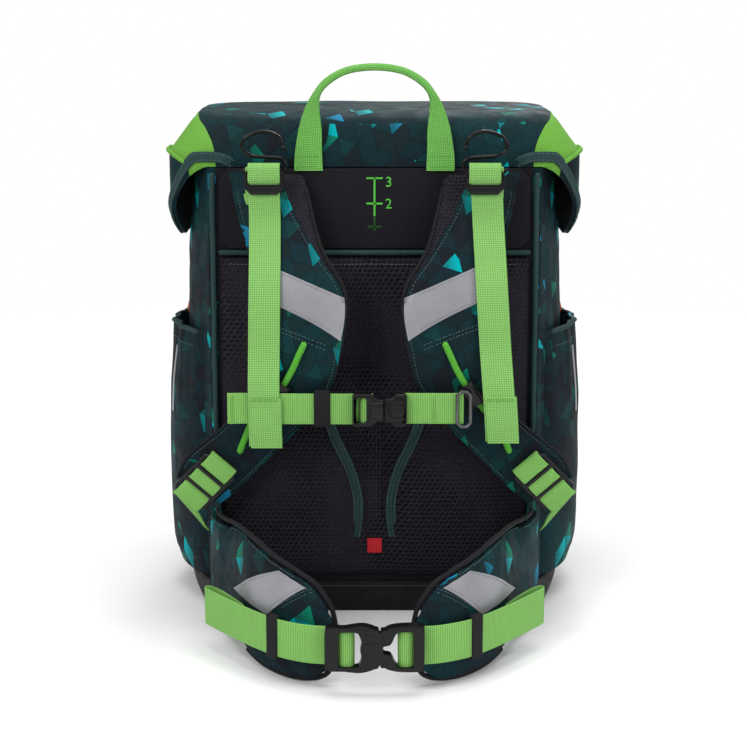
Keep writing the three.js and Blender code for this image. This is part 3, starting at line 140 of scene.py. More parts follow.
# ---------------------------------------------------------------- numbers and curves
def P(x, y, z):
    return np.array((x, y, z), float)


def mix(a, b, t):
    return a + (b - a) * t


def smooth(low, high, value):
    t = np.clip((value - low) / (high - low), 0, 1)
    return t * t * (3 - 2 * t)


def unit(v):
    return v / max(1e-9, float(np.linalg.norm(v)))


def catmull(rows, count):
    """Points at even parameters on a smooth curve through the rows."""
    rows = np.asarray(rows, float)
    last = len(rows) - 1
    out = []
    for s in np.linspace(0, last, count):
        i = min(last - 1, int(s))
        t = s - i
        a, b, c, d = rows[max(0, i - 1)], rows[i], rows[i + 1], rows[min(last, i + 2)]
        m, n = (c - a) / 2, (d - b) / 2
        if i == 0:
            m = c - b
        if i == last - 1:
            n = c - b
        t2, t3 = t * t, t * t * t
        place = (2 * t3 - 3 * t2 + 1) * b + (t3 - 2 * t2 + t) * m
        out.append(place + (3 * t2 - 2 * t3) * c + (t3 - t2) * n)
    return np.array(out)


def soft_table(table, x):
    """A table's other columns at x, on a smooth curve that doesn't overshoot."""
    xs = table[:, 0]
    i = int(np.clip(np.searchsorted(xs, x) - 1, 0, len(xs) - 2))
    slopes = np.diff(table[:, 1:], axis=0) / np.diff(xs)[:, None]

    def tangent(k):
        if k == 0:
            return slopes[0]
        if k == len(xs) - 1:
            return slopes[-1]
        a, b = slopes[k - 1], slopes[k]
        total = a + b
        return np.where(a * b > 0, 2 * a * b / np.where(total == 0, 1, total), 0)

    h = xs[i + 1] - xs[i]
    t = np.clip((x - xs[i]) / h, 0, 1)
    t2, t3 = t * t, t * t * t
    return (
        (2 * t3 - 3 * t2 + 1) * table[i, 1:] + (t3 - 2 * t2 + t) * h * tangent(i)
        + (3 * t2 - 2 * t3) * table[i + 1, 1:] + (t3 - t2) * h * tangent(i + 1)
    )


def along(points, step):
    """The same path with points every step millimetres."""
    points = np.asarray(points, float)
    lengths = np.concatenate(([0], np.cumsum(np.linalg.norm(np.diff(points, axis=0), axis=1))))
    count = max(2, int(round(lengths[-1] / step)) + 1)
    at = np.linspace(0, lengths[-1], count)
    return np.stack([np.interp(at, lengths, points[:, k]) for k in range(points.shape[1])], 1)


def step_at(points, i):
    """Direction of a path at one of its points."""
    return unit(points[min(len(points) - 1, i + 1)] - points[max(0, i - 1)])


def bezier(t, *points):
    """Point of a curve with two ends and one or two handles."""
    while len(points) > 1:
        points = [(1 - t) * a + t * b for a, b in zip(points, points[1:])]
    return points[0]


def arc(middle_x, middle_z, radius, first, last, steps=10):
    """(x, z) points round a middle from the first quarter turn to the last."""
    turns = [(first + (last - first) * k / steps) * math.pi / 2 for k in range(steps + 1)]
    return [(middle_x + radius * math.cos(a), middle_z + radius * math.sin(a)) for a in turns]


def spot(corners, s, t):
    """Place between four corners of a patch, as two shares."""
    (u0, v0), (u1, v1), (u2, v2), (u3, v3) = corners
    return mix(mix(u0, u1, t), mix(u3, u2, t), s), mix(mix(v0, v1, t), mix(v3, v2, t), s)


def runs(line, front, size, step, last):
    """Cuts a line into short runs that share an end, each with the direction that it is sewn from."""
    fronts = front if callable(front) else lambda k: front
    return [(line[k:k + size], fronts(k)) for k in range(0, last, step)]


def wobble(p, scale, seed):
    return noise(Vector((p[0] / scale + seed, p[1] / scale - seed, p[2] / scale + 2 * seed)))


# ---------------------------------------------------------------- materials
class Shader:
    """A principled material whose colour, roughness and bump come from nodes."""

    def __init__(self, name, roughness=0.6, metallic=0.0, sheen=0.0, coat=0.0, gloss=0.15):
        self.mat = bpy.data.materials.new(name)
        self.mat.use_nodes = True
        self.tree = self.mat.node_tree
        self.bsdf = self.tree.nodes["Principled BSDF"]
        self.bsdf.inputs["Roughness"].default_value = roughness
        self.bsdf.inputs["Metallic"].default_value = metallic
        self.bsdf.inputs["Specular IOR Level"].default_value = gloss
        if sheen:
            self.bsdf.inputs["Sheen Weight"].default_value = sheen
            self.bsdf.inputs["Sheen Roughness"].default_value = 0.45
        if coat:
            self.bsdf.inputs["Coat Weight"].default_value = coat
            self.bsdf.inputs["Coat Roughness"].default_value = 0.12
        self.where = self.node("ShaderNodeTexCoord").outputs["Object"]

    def node(self, kind, **values):
        made = self.tree.nodes.new(kind)
        for key, value in values.items():
            setattr(made, key, value)
        return made

    def feed(self, socket, value):
        if isinstance(value, bpy.types.NodeSocket):
            self.tree.links.new(value, socket)
        else:
            socket.default_value = value

    def math(self, operation, a, b=None, c=None):
        made = self.node("ShaderNodeMath", operation=operation)
        for socket, value in zip(made.inputs, (a, b, c)):
            if value is not None:
                self.feed(socket, value)
        return made.outputs[0]

    def dot(self, vector, constant):
        made = self.node("ShaderNodeVectorMath", operation="DOT_PRODUCT")
        self.feed(made.inputs[0], vector)
        made.inputs[1].default_value = constant
        return made.outputs["Value"]

    def blend(self, share, a, b, kind="MIX"):
        made = self.node("ShaderNodeMix", data_type="RGBA", blend_type=kind)
        self.feed(made.inputs[0], share)
        for socket, value in ((made.inputs[6], a), (made.inputs[7], b)):
            self.feed(socket, (*value, 1) if isinstance(value, tuple) and len(value) == 3 else value)
        return made.outputs[2]

    def ramp(self, value, low, high, to_low=0.0, to_high=1.0):
        made = self.node("ShaderNodeMapRange", interpolation_type="SMOOTHSTEP")
        for socket, item in zip(made.inputs, (value, low, high, to_low, to_high)):
            self.feed(socket, item)
        return made.outputs[0]

    def noise(self, scale, detail=3.0, rough=0.55, vector=None):
        made = self.node("ShaderNodeTexNoise")
        self.feed(made.inputs["Vector"], vector or self.where)
        made.inputs["Scale"].default_value = scale
        made.inputs["Detail"].default_value = detail
        made.inputs["Roughness"].default_value = rough
        return made.outputs["Fac"]

    def wave(self, axis, pitch, vector=None):
        """0 to 1 across a pitch in metres along a constant direction."""
        phase = self.math("MULTIPLY", self.dot(vector or self.where, axis), 2 * math.pi / pitch)
        return self.math("MULTIPLY_ADD", self.math("SINE", phase), 0.5, 0.5)

    def color(self, value):
        self.feed(self.bsdf.inputs["Base Color"], (*value, 1) if isinstance(value, tuple) else value)

    def rough(self, value):
        self.feed(self.bsdf.inputs["Roughness"], value)

    def bump(self, height, strength, distance):
        made = self.node("ShaderNodeBump")
        made.inputs["Strength"].default_value = strength
        made.inputs["Distance"].default_value = distance
        self.feed(made.inputs["Height"], height)
        if self.bsdf.inputs["Normal"].is_linked:
            before = self.bsdf.inputs["Normal"].links[0].from_socket
            self.tree.links.new(before, made.inputs["Normal"])
        self.tree.links.new(made.outputs[0], self.bsdf.inputs["Normal"])


TEAL_DARK = (0.007, 0.019, 0.026)
CHARCOAL = (0.01, 0.012, 0.016)
TEAL_SOFT = (0.006, 0.045, 0.048)
SHARD_TEAL = (0.0, 0.35, 0.38)
SHARD_BLUE = (0.01, 0.2, 0.36)
SHARD_GREEN = (0.004, 0.16, 0.1)
GREEN_DEEP = (0.065, 0.29, 0.03)


def flat_place(shader):
    """Place on the cloth seen square on: the sides and the top turn their own way, as sewn panels do."""
    normal = shader.node("ShaderNodeSeparateXYZ")
    shader.feed(normal.inputs[0], shader.node("ShaderNodeTexCoord").outputs["Normal"])
    across, deep, up = (shader.math("ABSOLUTE", out) for out in normal.outputs)
    top = shader.math("GREATER_THAN", up, 0.72)
    side = shader.math("GREATER_THAN", across, deep)
    side = shader.math("MULTIPLY", side, shader.math("SUBTRACT", 1.0, top))
    place = shader.node("ShaderNodeSeparateXYZ")
    shader.feed(place.inputs[0], shader.where)
    x, y, z = place.outputs
    flat = shader.node("ShaderNodeCombineXYZ")
    shader.feed(flat.inputs[0], shader.math("MULTIPLY_ADD", side, shader.math("SUBTRACT", y, x), x))
    shader.feed(flat.inputs[1], shader.math("MULTIPLY_ADD", top, shader.math("SUBTRACT", y, z), z))
    return flat.outputs[0]


def triangles(shader, flat, size):
    """Random values of each lozenge and of each of its triangles, distance to a line and share across."""
    turn = math.radians(14)
    places, floors, edges = [], [], []
    for angle, off in ((turn, 0.21), (turn + math.pi * 2 / 3, 0.37), (turn + math.pi / 3, 0.58)):
        axis = (math.cos(angle) / size, math.sin(angle) / size, 0)
        place = shader.math("ADD", shader.dot(flat, axis), off)
        places.append(place)
        floors.append(shader.math("FLOOR", place))
        edges.append(shader.math("PINGPONG", place, 0.5))
    values = []
    for last in (0.0, floors[2]):
        cell = shader.node("ShaderNodeCombineXYZ")
        for socket, value in zip(cell.inputs, (floors[0], floors[1], last)):
            shader.feed(socket, value)
        random = shader.node("ShaderNodeTexWhiteNoise", noise_dimensions="3D")
        shader.feed(random.inputs["Vector"], cell.outputs[0])
        values.append(random)
    edge = shader.math("MINIMUM", shader.math("MINIMUM", edges[0], edges[1]), edges[2])
    return values[0], values[1], edge, shader.math("FRACT", places[0])


def print_cloth(name="printed_cloth"):
    """Dark satin cloth with a generic print of small facets and a few bright shards."""
    s = Shader(name, roughness=0.62, gloss=0.04)
    lozenge, triangle, line, share = triangles(s, flat_place(s), 0.0142)
    tone = triangle.outputs["Value"]
    base = s.blend(s.ramp(tone, 0.3, 0.6), TEAL_DARK, CHARCOAL)
    base = s.blend(s.ramp(tone, 0.72, 1.0, 0.0, 0.75), base, TEAL_SOFT)
    drift = s.ramp(s.noise(8.0, 2.0), 0.42, 0.64)
    base = s.blend(drift, base, s.blend(0.4, base, TEAL_SOFT))
    base = s.blend(s.ramp(line, 0.01, 0.04, 0.5, 0.0), base, (0.003, 0.006, 0.008))
    group = s.ramp(s.noise(15.0, 1.0), 0.46, 0.56, 0.03, 0.2)
    lit = s.math("GREATER_THAN", s.math("ADD", lozenge.outputs["Value"], group), 1.0)
    lit = s.math("MULTIPLY", lit, s.math("GREATER_THAN", tone, 0.3))
    hue = s.node("ShaderNodeSeparateColor")
    s.feed(hue.inputs[0], triangle.outputs["Color"])
    shard = s.blend(s.math("GREATER_THAN", hue.outputs[1], 0.5), SHARD_GREEN, SHARD_TEAL)
    shard = s.blend(s.math("GREATER_THAN", hue.outputs[2], 0.84), shard, SHARD_BLUE)
    shard = s.blend(s.ramp(share, 0.0, 1.0, 0.7, 0.0), shard, TEAL_SOFT)
    s.color(s.blend(lit, base, shard))
    weave = s.math("MULTIPLY", s.wave((1, 0.7, 0), 0.0011), s.wave((0, 0.5, 1), 0.0011))
    s.bump(weave, 0.2, 0.0002)
    s.bump(s.noise(38.0, 3.0), 0.3, 0.0012)
    s.rough(s.ramp(s.noise(60.0, 2.0), 0.3, 0.7, 0.48, 0.64))
    return s.mat


def spacer_mesh(name="spacer_mesh", pitch=0.0034, light=1.0):
    """Black knitted mesh with rows of small holes."""
    s = Shader(name, roughness=0.9, gloss=0.08)
    turn = s.node("ShaderNodeCombineXYZ")
    x = s.dot(s.where, (1, 0.35, -0.577))
    z = s.dot(s.where, (0, 0.2, 1.1547))
    s.feed(turn.inputs[0], x)
    s.feed(turn.inputs[1], z)
    holes = s.node("ShaderNodeTexVoronoi", voronoi_dimensions="2D", feature="F1")
    s.feed(holes.inputs["Vector"], turn.outputs[0])
    holes.inputs["Scale"].default_value = 1 / pitch
    holes.inputs["Randomness"].default_value = 0.12
    hole = s.ramp(holes.outputs["Distance"], 0.22, 0.42)
    hole = s.math("MAXIMUM", hole, s.ramp(s.noise(11.0, 1.0), 0.42, 0.6, 0.78, 0.12))
    fluff = s.noise(900.0, 3.0, 0.7)
    yarn = tuple(c * light for c in (0.038, 0.034, 0.045))
    base = s.blend(s.ramp(fluff, 0.35, 0.75), (0.012, 0.011, 0.015), yarn)
    s.color(s.blend(hole, (0.003, 0.003, 0.004), base))
    s.bump(hole, 0.8, 0.0008)
    s.bump(fluff, 0.3, 0.0004)
    return s.mat


def woven(name, dark, light, pitch=0.00095, ribs=False, scale=1.0):
    """Webbing with a weave that follows the strap: UV x across and y along, both in metres."""
    s = Shader(name, roughness=0.72)
    uv = s.node("ShaderNodeUVMap", uv_map="strap").outputs[0]
    across = s.wave((1, 0, 0), pitch, uv)
    rows = s.wave((0, 1, 0), pitch * (1.35 if ribs else 1.0), uv)
    if ribs:
        weave = s.math("MULTIPLY_ADD", across, 0.3, s.math("MULTIPLY", rows, 0.7))
    else:
        weave = s.math("MULTIPLY", s.math("POWER", across, 0.6), s.math("POWER", rows, 0.6))
    worn = s.noise(70.0, 3.0)
    deep = s.blend(s.ramp(weave, 0.05, 0.7, 0.0, 1.0), dark, light)
    s.color(s.blend(s.ramp(worn, 0.35, 0.75, 0.0, 0.3), deep, tuple(c * 0.72 for c in light)))
    s.bump(weave, 0.7, 0.00035 * scale)
    s.bump(s.noise(240.0, 2.0), 0.25, 0.0002)
    return s.mat


def plain_cloth(name, dark, light, roughness=0.8, grain=700.0, depth=0.0003, gloss=0.15):
    s = Shader(name, roughness=roughness, gloss=gloss)
    fine = s.noise(grain, 3.0, 0.65)
    wide = s.noise(25.0, 2.0)
    s.color(s.blend(s.ramp(wide, 0.3, 0.7, 0.15, 0.5), s.blend(s.ramp(fine, 0.3, 0.7), dark, light), light))
    s.bump(fine, 0.45, depth)
    return s.mat


def moulded(name, tone, roughness, grain=900.0, metallic=0.0, coat=0.0, wear=0.12, gloss=0.4):
    """Moulded or coated hard part: fine grain, uneven gloss and lighter rubbed edges."""
    s = Shader(name, roughness=roughness, metallic=metallic, coat=coat, gloss=gloss)
    fine = s.noise(grain, 2.0)
    wide = s.noise(45.0, 3.0)
    edge = s.node("ShaderNodeNewGeometry").outputs["Pointiness"]
    rubbed = s.math("MULTIPLY", s.ramp(edge, 0.52, 0.6), s.ramp(wide, 0.35, 0.7, 0.1, wear))
    base = s.blend(s.ramp(wide, 0.3, 0.7), tone, tuple(c * 1.35 for c in tone))
    s.color(s.blend(rubbed, base, (0.1, 0.1, 0.11)))
    s.rough(s.ramp(s.noise(130.0, 3.0), 0.3, 0.7, roughness * 0.8, roughness * 1.25))
    s.bump(fine, 0.2, 0.0001)
    return s.mat


def reflective():
    """Grey film of tiny glass beads on cloth."""
    s = Shader("reflective_film", roughness=0.42, metallic=0.2, gloss=0.3)
    beads = s.noise(1500.0, 2.0, 0.8)
    wide = s.noise(18.0, 3.0)
    tone = s.blend(s.ramp(wide, 0.3, 0.7), (0.22, 0.22, 0.24), (0.3, 0.3, 0.325))
    s.color(s.blend(s.ramp(beads, 0.35, 0.75, 0.0, 0.4), tone, (0.4, 0.4, 0.43)))
    s.rough(s.ramp(beads, 0.3, 0.7, 0.3, 0.5))
    s.bump(beads, 0.25, 0.0001)
    s.bump(s.noise(55.0, 2.0), 0.3, 0.0006)
    return s.mat


PRINT = print_cloth()
MESH = spacer_mesh()
CUSHION_MESH = spacer_mesh("cushion_mesh", 0.0042, 0.9)
GREEN_WEB = woven("green_webbing", (0.13, 0.36, 0.07), (0.29, 0.55, 0.17), 0.00178)
HANDLE_WEB = woven("handle_webbing", (0.085, 0.32, 0.045), (0.205, 0.5, 0.12), 0.00178)
GREEN_RIB = woven("green_ribbed_webbing", GREEN_DEEP, (0.26, 0.51, 0.14), 0.0011, True)
KEEPER = woven("black_elastic", (0.004, 0.004, 0.005), (0.016, 0.015, 0.018), 0.0013, True)
RAIL = woven("rail_cord", (0.04, 0.25, 0.015), (0.12, 0.46, 0.05), 0.0011, True)
PATCH = plain_cloth("green_elastic", (0.105, 0.3, 0.034), (0.14, 0.36, 0.05), 0.85, 520.0, 0.0003)
BINDING = woven("teal_binding", (0.01, 0.03, 0.031), (0.028, 0.064, 0.062), 0.0011, True)
# Black lining cloth whose colour is painted lighter than black: painted fill light in the shaded insides of
# the lid, pockets and body.
LINING_PAINTED_FILL = plain_cloth("black_lining", (0.07, 0.07, 0.078), (0.115, 0.112, 0.125), 0.75, 650.0, gloss=0.1)
PLATE = plain_cloth(
    "back_plate_cloth", (0.006, 0.0055, 0.008), (0.009, 0.0085, 0.012), 0.66, 800.0, 0.0001, 0.12
)
BOOT = moulded("boot_plastic", (0.007, 0.0065, 0.008), 0.6, 1100.0, gloss=0.15, wear=0.06)
PLASTIC = moulded("black_plastic", (0.005, 0.005, 0.0055), 0.2, 1300.0, coat=0.1, gloss=0.18)
WIRE = moulded("black_wire", (0.002, 0.002, 0.0025), 0.12, 500.0, coat=0.2, gloss=0.12, wear=0.0)
RING = moulded("dark_metal", (0.1, 0.1, 0.105), 0.3, 700.0, metallic=0.85)
FILM = reflective()
ZIP = plain_cloth("orange_pull", (0.4, 0.1, 0.03), (0.6, 0.17, 0.05), 0.55, 600.0)
TAB = plain_cloth("red_tab_cloth", (0.36, 0.012, 0.02), (0.5, 0.02, 0.03), 0.65, 900.0)
THREAD = plain_cloth("teal_thread", (0.03, 0.07, 0.07), (0.1, 0.15, 0.15), 0.6, 2000.0)
THREAD_GREEN = plain_cloth("green_thread", (0.05, 0.19, 0.025), (0.1, 0.3, 0.05), 0.6, 2000.0)
THREAD_BLACK = plain_cloth("black_thread", (0.01, 0.01, 0.012), (0.05, 0.05, 0.055), 0.6, 2000.0)
THREAD_GREY = plain_cloth("grey_thread", (0.1, 0.11, 0.12), (0.24, 0.25, 0.27), 0.6, 2000.0)
MARK = plain_cloth("printed_mark", (0.05, 0.36, 0.03), (0.1, 0.5, 0.06), 0.6, 900.0, 0.0001)
MARK_FADED = plain_cloth("faded_mark", (0.008, 0.05, 0.008), (0.015, 0.075, 0.012), 0.6, 900.0, 0.0001)


# ---------------------------------------------------------------- mesh tools
def attach(obj, slot, *nodes):
    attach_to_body(obj, "root")
    if nodes:
        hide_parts(*nodes)
    return obj


def add_object(name, data):
    obj = bpy.data.objects.new(name, data)
    bpy.context.scene.collection.objects.link(obj)
    return obj


def made_mesh(obj):
    """The mesh that an object's modifiers or curve make of it."""
    graph = bpy.context.evaluated_depsgraph_get()
    graph.update()
    return bpy.data.meshes.new_from_object(obj.evaluated_get(graph), depsgraph=graph)


def rework(mesh, *changes):
    """Runs changes on a mesh in Blender's editing form."""
    bm = bmesh.new()
    bm.from_mesh(mesh)
    for change in changes:
        change(bm)
    bm.to_mesh(mesh)
    bm.free()


def weld(bm):
    bmesh.ops.remove_doubles(bm, verts=bm.verts, dist=2e-5)


def face_out(bm):
    bmesh.ops.recalc_face_normals(bm, faces=bm.faces)


def build(name, points, faces, material, smooth_angle=50, uvs=None):
    """A mesh object from points in millimetres."""
    mesh = bpy.data.meshes.new(name)
    mesh.from_pydata((np.asarray(points, float) * MM).tolist(), [], [list(map(int, f)) for f in faces])
    if uvs is not None:
        layer = mesh.uv_layers.new(name="strap")
        index = np.zeros(len(mesh.loops), int)
        mesh.loops.foreach_get("vertex_index", index)
        layer.data.foreach_set("uv", (np.asarray(uvs, float) * MM)[index].astype(np.float32).ravel())
    mesh.materials.append(material)
    obj = add_object(name, mesh)
    rework(mesh, face_out)
    shade(obj, smooth_angle)
    return obj


def shade(obj, angle=50):
    obj.data.shade_smooth()
    obj.data.set_sharp_from_angle(angle=math.radians(angle))


def bake(obj):
    """Replaces an object's mesh with what its modifiers make of it."""
    made = made_mesh(obj)
    obj.modifiers.clear()
    obj.data = made
    return obj


def loft(name, rings, material, closed_ends=True, uvs=None, angle=50):
    """A skin over rings of equal count."""
    rings = [np.asarray(r, float) for r in rings]
    count, points, faces = len(rings[0]), list(np.concatenate(rings)), []
    for r in range(len(rings) - 1):
        for k in range(count):
            a, b = r * count + k, r * count + (k + 1) % count
            faces.append((a, b, b + count, a + count))
    if closed_ends:
        for start, ring in ((0, rings[0]), (len(rings) - 1, rings[-1])):
            middle = len(points)
            points.append(ring.mean(0))
            if uvs is not None:
                uvs = np.vstack((uvs, uvs[start * count]))
            for k in range(count):
                faces.append((middle, start * count + k, start * count + (k + 1) % count))
    return build(name, points, faces, material, angle, uvs)


def sheet_block(name, front, back, material, angle=50):
    """A closed block between two grids of points."""
    front, back = np.asarray(front), np.asarray(back)
    rows, columns = front.shape[:2]
    half = rows * columns
    points = np.concatenate((front.reshape(-1, 3), back.reshape(-1, 3)))
    faces = []
    for i in range(rows - 1):
        for j in range(columns - 1):
            a = i * columns + j
            faces.append((a, a + 1, a + columns + 1, a + columns))
            faces.append((half + a, half + a + columns, half + a + columns + 1, half + a + 1))
    rim = list(range(columns - 1))
    rim += [i * columns + columns - 1 for i in range(rows - 1)]
    rim += [(rows - 1) * columns + j for j in range(columns - 1, 0, -1)]
    rim += [i * columns for i in range(rows - 1, 0, -1)]
    for k, a in enumerate(rim):
        b = rim[(k + 1) % len(rim)]
        faces.append((a, half + a, half + b, b))
    return build(name, points, faces, material, angle)


def sections(width, thick, corner, steps=3):
    """Rounded rectangle as (across, height), from one edge over the top to the other and back."""
    w, h = width / 2, thick / 2
    corner = min(corner, w * 0.98, h * 0.98)
    out = []
    for cx, cy, turn in ((w, h, 0), (-w, h, 1), (-w, -h, 2), (w, -h, 3)):
        for k in range(steps + 1):
            angle = (turn + k / steps) * math.pi / 2
            out.append((
                cx - math.copysign(corner, cx) + corner * math.cos(angle),
                cy - math.copysign(corner, cy) + corner * math.sin(angle),
            ))
    return out


def strap(name, rows, material, corner=None, flat_steps=5):
    """A band through rows of (middle, across, normal, width, thick), with UVs in millimetres."""
    rings, uvs, run, before = [], [], 0.0, None
    for middle, across, normal, width, thick in rows:
        if before is not None:
            run += float(np.linalg.norm(middle - before))
        before = middle
        section = sections(width, thick, thick * 0.45 if corner is None else corner)
        dense = []
        for k, (u, v) in enumerate(section):
            nu, nv = section[(k + 1) % len(section)]
            pieces = flat_steps if abs(nu - u) > width * 0.4 else 1
            dense += [(mix(u, nu, s / pieces), mix(v, nv, s / pieces)) for s in range(pieces)]
        rings.append([middle + across * u + normal * v for u, v in dense])
        uvs += [(u, run) for u, v in dense]
    return loft(name, rings, material, True, np.array(uvs), 60)


def path_rows(points, width, thick, across=None, normal=None):
    """Rows for a band along points, with a fixed width direction or a fixed front."""
    rows = []
    for i, middle in enumerate(points):
        step = step_at(points, i)
        if across is not None:
            side = across
            front = unit(np.cross(side, step))
        else:
            front = normal[i] if np.ndim(normal) == 2 else normal
            side = unit(np.cross(step, front))
            front = unit(np.cross(side, step))
        w = width[i] if hasattr(width, "__len__") else width
        t = thick[i] if hasattr(thick, "__len__") else thick
        rows.append((middle, side, front, w, t))
    return rows


def cord(name, points, radius, material, sides=12, ends=True):
    """A round cord, with domed ends."""
    points = np.asarray(points, float)
    last = len(points) - 1
    steps = [step_at(points, i) for i in range(last + 1)]
    side = unit(np.cross(steps[0], UP if abs(steps[0][2]) < 0.9 else OUT))
    turn = [2 * math.pi * k / sides for k in range(sides)]
    rings, uvs, run = [], [], 0.0
    dome = ((0.95, 0.3), (0.7, 0.7), (0.35, 0.93))

    def ring(middle, wide, step, at):
        front = np.cross(side, step)
        rings.append([middle + side * wide * math.cos(a) + front * wide * math.sin(a) for a in turn])
        uvs.extend((radius * a, at) for a in turn)

    for i, middle in enumerate(points):
        side = unit(side - steps[i] * float(np.dot(side, steps[i])))
        if i:
            run += float(np.linalg.norm(middle - points[i - 1]))
        if ends and i == 0:
            for back, share in dome:
                ring(middle + steps[0] * radius * (1 - back), radius * share, steps[0], 0)
        elif ends and i == last:
            for back, share in dome[::-1]:
                ring(middle - steps[-1] * radius * (1 - back), radius * share, steps[-1], run)
        elif not ends or min(np.linalg.norm(middle - end) for end in (points[0], points[-1])) >= radius:
            ring(middle, radius, steps[i], run)
    return loft(name, rings, material, True, np.array(uvs), 60)


def refine(node, name, material, slot, width=0.0005):
    """A hard CAD node with its flat faces joined up and its edges rounded."""
    obj = add_object(name, NODES[node].data.copy())
    round_edges(obj, material, width)
    return attach(obj, slot, node)


def round_edges(obj, material, width, angle=28):
    rework(obj.data, weld, lambda bm: bmesh.ops.dissolve_limit(
        bm, angle_limit=math.radians(2), verts=bm.verts, edges=bm.edges,
    ))
    bevel = obj.modifiers.new("bevel", "BEVEL")
    bevel.width, bevel.segments = width, 3
    bevel.limit_method, bevel.angle_limit = "ANGLE", math.radians(angle)
    bake(obj)
    obj.data.materials.clear()
    obj.data.materials.append(material)
    shade(obj, 40)


def moulding(name, outlines, thick, place, material, width=0.0007):
    """A flat moulded part facing the wearer: outline and holes in millimetres, back face at the place."""
    curve = bpy.data.curves.new(name, "CURVE")
    curve.dimensions, curve.fill_mode, curve.extrude = "2D", "BOTH", thick * MM / 2
    for outline in outlines:
        spline = curve.splines.new("POLY")
        spline.points.add(len(outline) - 1)
        for point, (x, y) in zip(spline.points, outline):
            point.co = (x * MM, y * MM, 0, 1)
        spline.use_cyclic_u = True
    drawn = add_object(name + "_outline", curve)
    mesh = made_mesh(drawn)
    drop(drawn)
    co = np.array([v.co for v in mesh.vertices], float)
    depth = co[:, 2:3] + thick * MM / 2
    co = np.asarray(place) * MM + co[:, 0:1] * RIGHT + co[:, 1:2] * UP + depth * OUT
    mesh.vertices.foreach_set("co", co.astype(np.float32).ravel())
    obj = add_object(name, mesh)
    rework(mesh, weld)
    rework(mesh, face_out)
    round_edges(obj, material, width)
    return obj


def rounded(points, steps=5):
    """A smooth closed line through the points."""
    points = np.asarray(points, float)
    loop = np.vstack((points[-2:], points, points[:3]))
    line = catmull(loop, (len(loop) - 1) * steps + 1)
    return line[2 * steps:(len(points) + 2) * steps]


def tree_of(*objects):
    points, faces = [], []
    for obj in objects:
        start = len(points)
        points += [tuple(v.co * IN_MM) for v in obj.data.vertices]
        faces += [[start + i for i in p.vertices] for p in obj.data.polygons]
    return BVHTree.FromPolygons(points, faces)


def snap(tree, p, direction, reach=14):
    """Where a line through p along the direction meets the surface from outside."""
    direction = unit(np.asarray(direction, float))
    hit = tree.ray_cast(Vector(np.asarray(p) + direction * reach), Vector(-direction), reach * 2.2)
    if hit[0] is None:
        return np.asarray(p, float), direction
    normal = np.array(hit[1])
    if float(np.dot(normal, direction)) < 0:
        normal = -normal
    return np.array(hit[0]), unit(normal)


def stitches(name, lines, material, slot, tree=None, pitch=3.2, share=0.62, radius=0.32, lift=0.12):
    """Sewn dashes along lines of (points, direction), as one joined mesh."""
    points, faces = [], []
    for line, direction in lines:
        line = along(line, pitch / 4)
        for start in range(0, len(line) - 3, 4):
            ends = []
            for q in (line[start], line[min(len(line) - 1, start + 3)]):
                q, front = snap(tree, q, direction) if tree else (q, unit(np.asarray(direction, float)))
                ends.append(q + front * lift)
            a, b = ends
            if np.linalg.norm(b - a) > pitch * 1.6:
                continue
            middle, half = (a + b) / 2, (b - a) * 0.5 * share / 0.75
            step = unit(half)
            side = unit(np.cross(step, front))
            base = len(points)
            for place, size in ((-1.0, 0.35), (-0.55, 1.0), (0.55, 1.0), (1.0, 0.35)):
                for angle in range(0, 360, 60):
                    c, s = math.cos(math.radians(angle)), math.sin(math.radians(angle))
                    points.append(middle + half * place + (side * c + front * s) * radius * size)
            for r in range(3):
                for k in range(6):
                    faces.append((
                        base + r * 6 + k, base + r * 6 + (k + 1) % 6,
                        base + (r + 1) * 6 + (k + 1) % 6, base + (r + 1) * 6 + k,
                    ))
            faces.append([base + k for k in range(5, -1, -1)])
            faces.append([base + 18 + k for k in range(6)])
    obj = build(name, points, faces, material, 60)
    return attach(obj, slot)


def boolean(obj, other, operation):
    modifier = obj.modifiers.new("cut", "BOOLEAN")
    modifier.operation, modifier.object, modifier.solver = operation, other, "MANIFOLD"
    bake(obj)
    return obj


def copy_of(obj, name):
    return add_object(name, obj.data.copy())


def drop(*objects):
    for obj in objects:
        bpy.data.objects.remove(obj)


def puff(obj, voxel, pressure, cap, frames=20, keep=None):
    """Remeshes a pad evenly and lets cloth pressure fill it. No point moves further than cap, in metres."""
    remesh = obj.modifiers.new("remesh", "REMESH")
    remesh.mode, remesh.voxel_size = "VOXEL", voxel
    bake(obj)
    rest = np.array([v.co for v in obj.data.vertices], float)
    scene = bpy.context.scene
    cloth = obj.modifiers.new("cloth", "CLOTH")
    cloth.settings.quality = 4
    cloth.settings.mass = 0.25
    cloth.settings.use_pressure = True
    cloth.settings.uniform_pressure_force = pressure
    cloth.settings.effector_weights.gravity = 0
    cloth.point_cache.frame_start, cloth.point_cache.frame_end = 1, frames
    for f in range(1, frames + 1):
        scene.frame_set(f)
    graph = bpy.context.evaluated_depsgraph_get()
    moved = np.array([v.co for v in obj.evaluated_get(graph).data.vertices], float)
    scene.frame_set(1)
    obj.modifiers.clear()
    step = moved - rest
    length = np.linalg.norm(step, axis=1)
    step *= (np.minimum(length, cap) / np.maximum(length, 1e-9))[:, None]
    if keep is not None:
        step *= np.array([keep(p * IN_MM) for p in rest])[:, None]
    rest = rest + step
    obj.data.vertices.foreach_set("co", rest.astype(np.float32).ravel())
    soften = obj.modifiers.new("soften", "SMOOTH")
    soften.factor, soften.iterations = 0.5, 2
    divide = obj.modifiers.new("divide", "SUBSURF")
    divide.levels = divide.render_levels = 1
    bake(obj)
    shade(obj, 80)
    return obj


def move_points(obj, change):
    """Moves each vertex by a function of its place in millimetres."""
    co = np.array([v.co for v in obj.data.vertices], float) * IN_MM
    co = np.array([p + change(p) for p in co])
    obj.data.vertices.foreach_set("co", (co * MM).astype(np.float32).ravel())
    obj.data.update()
    return obj


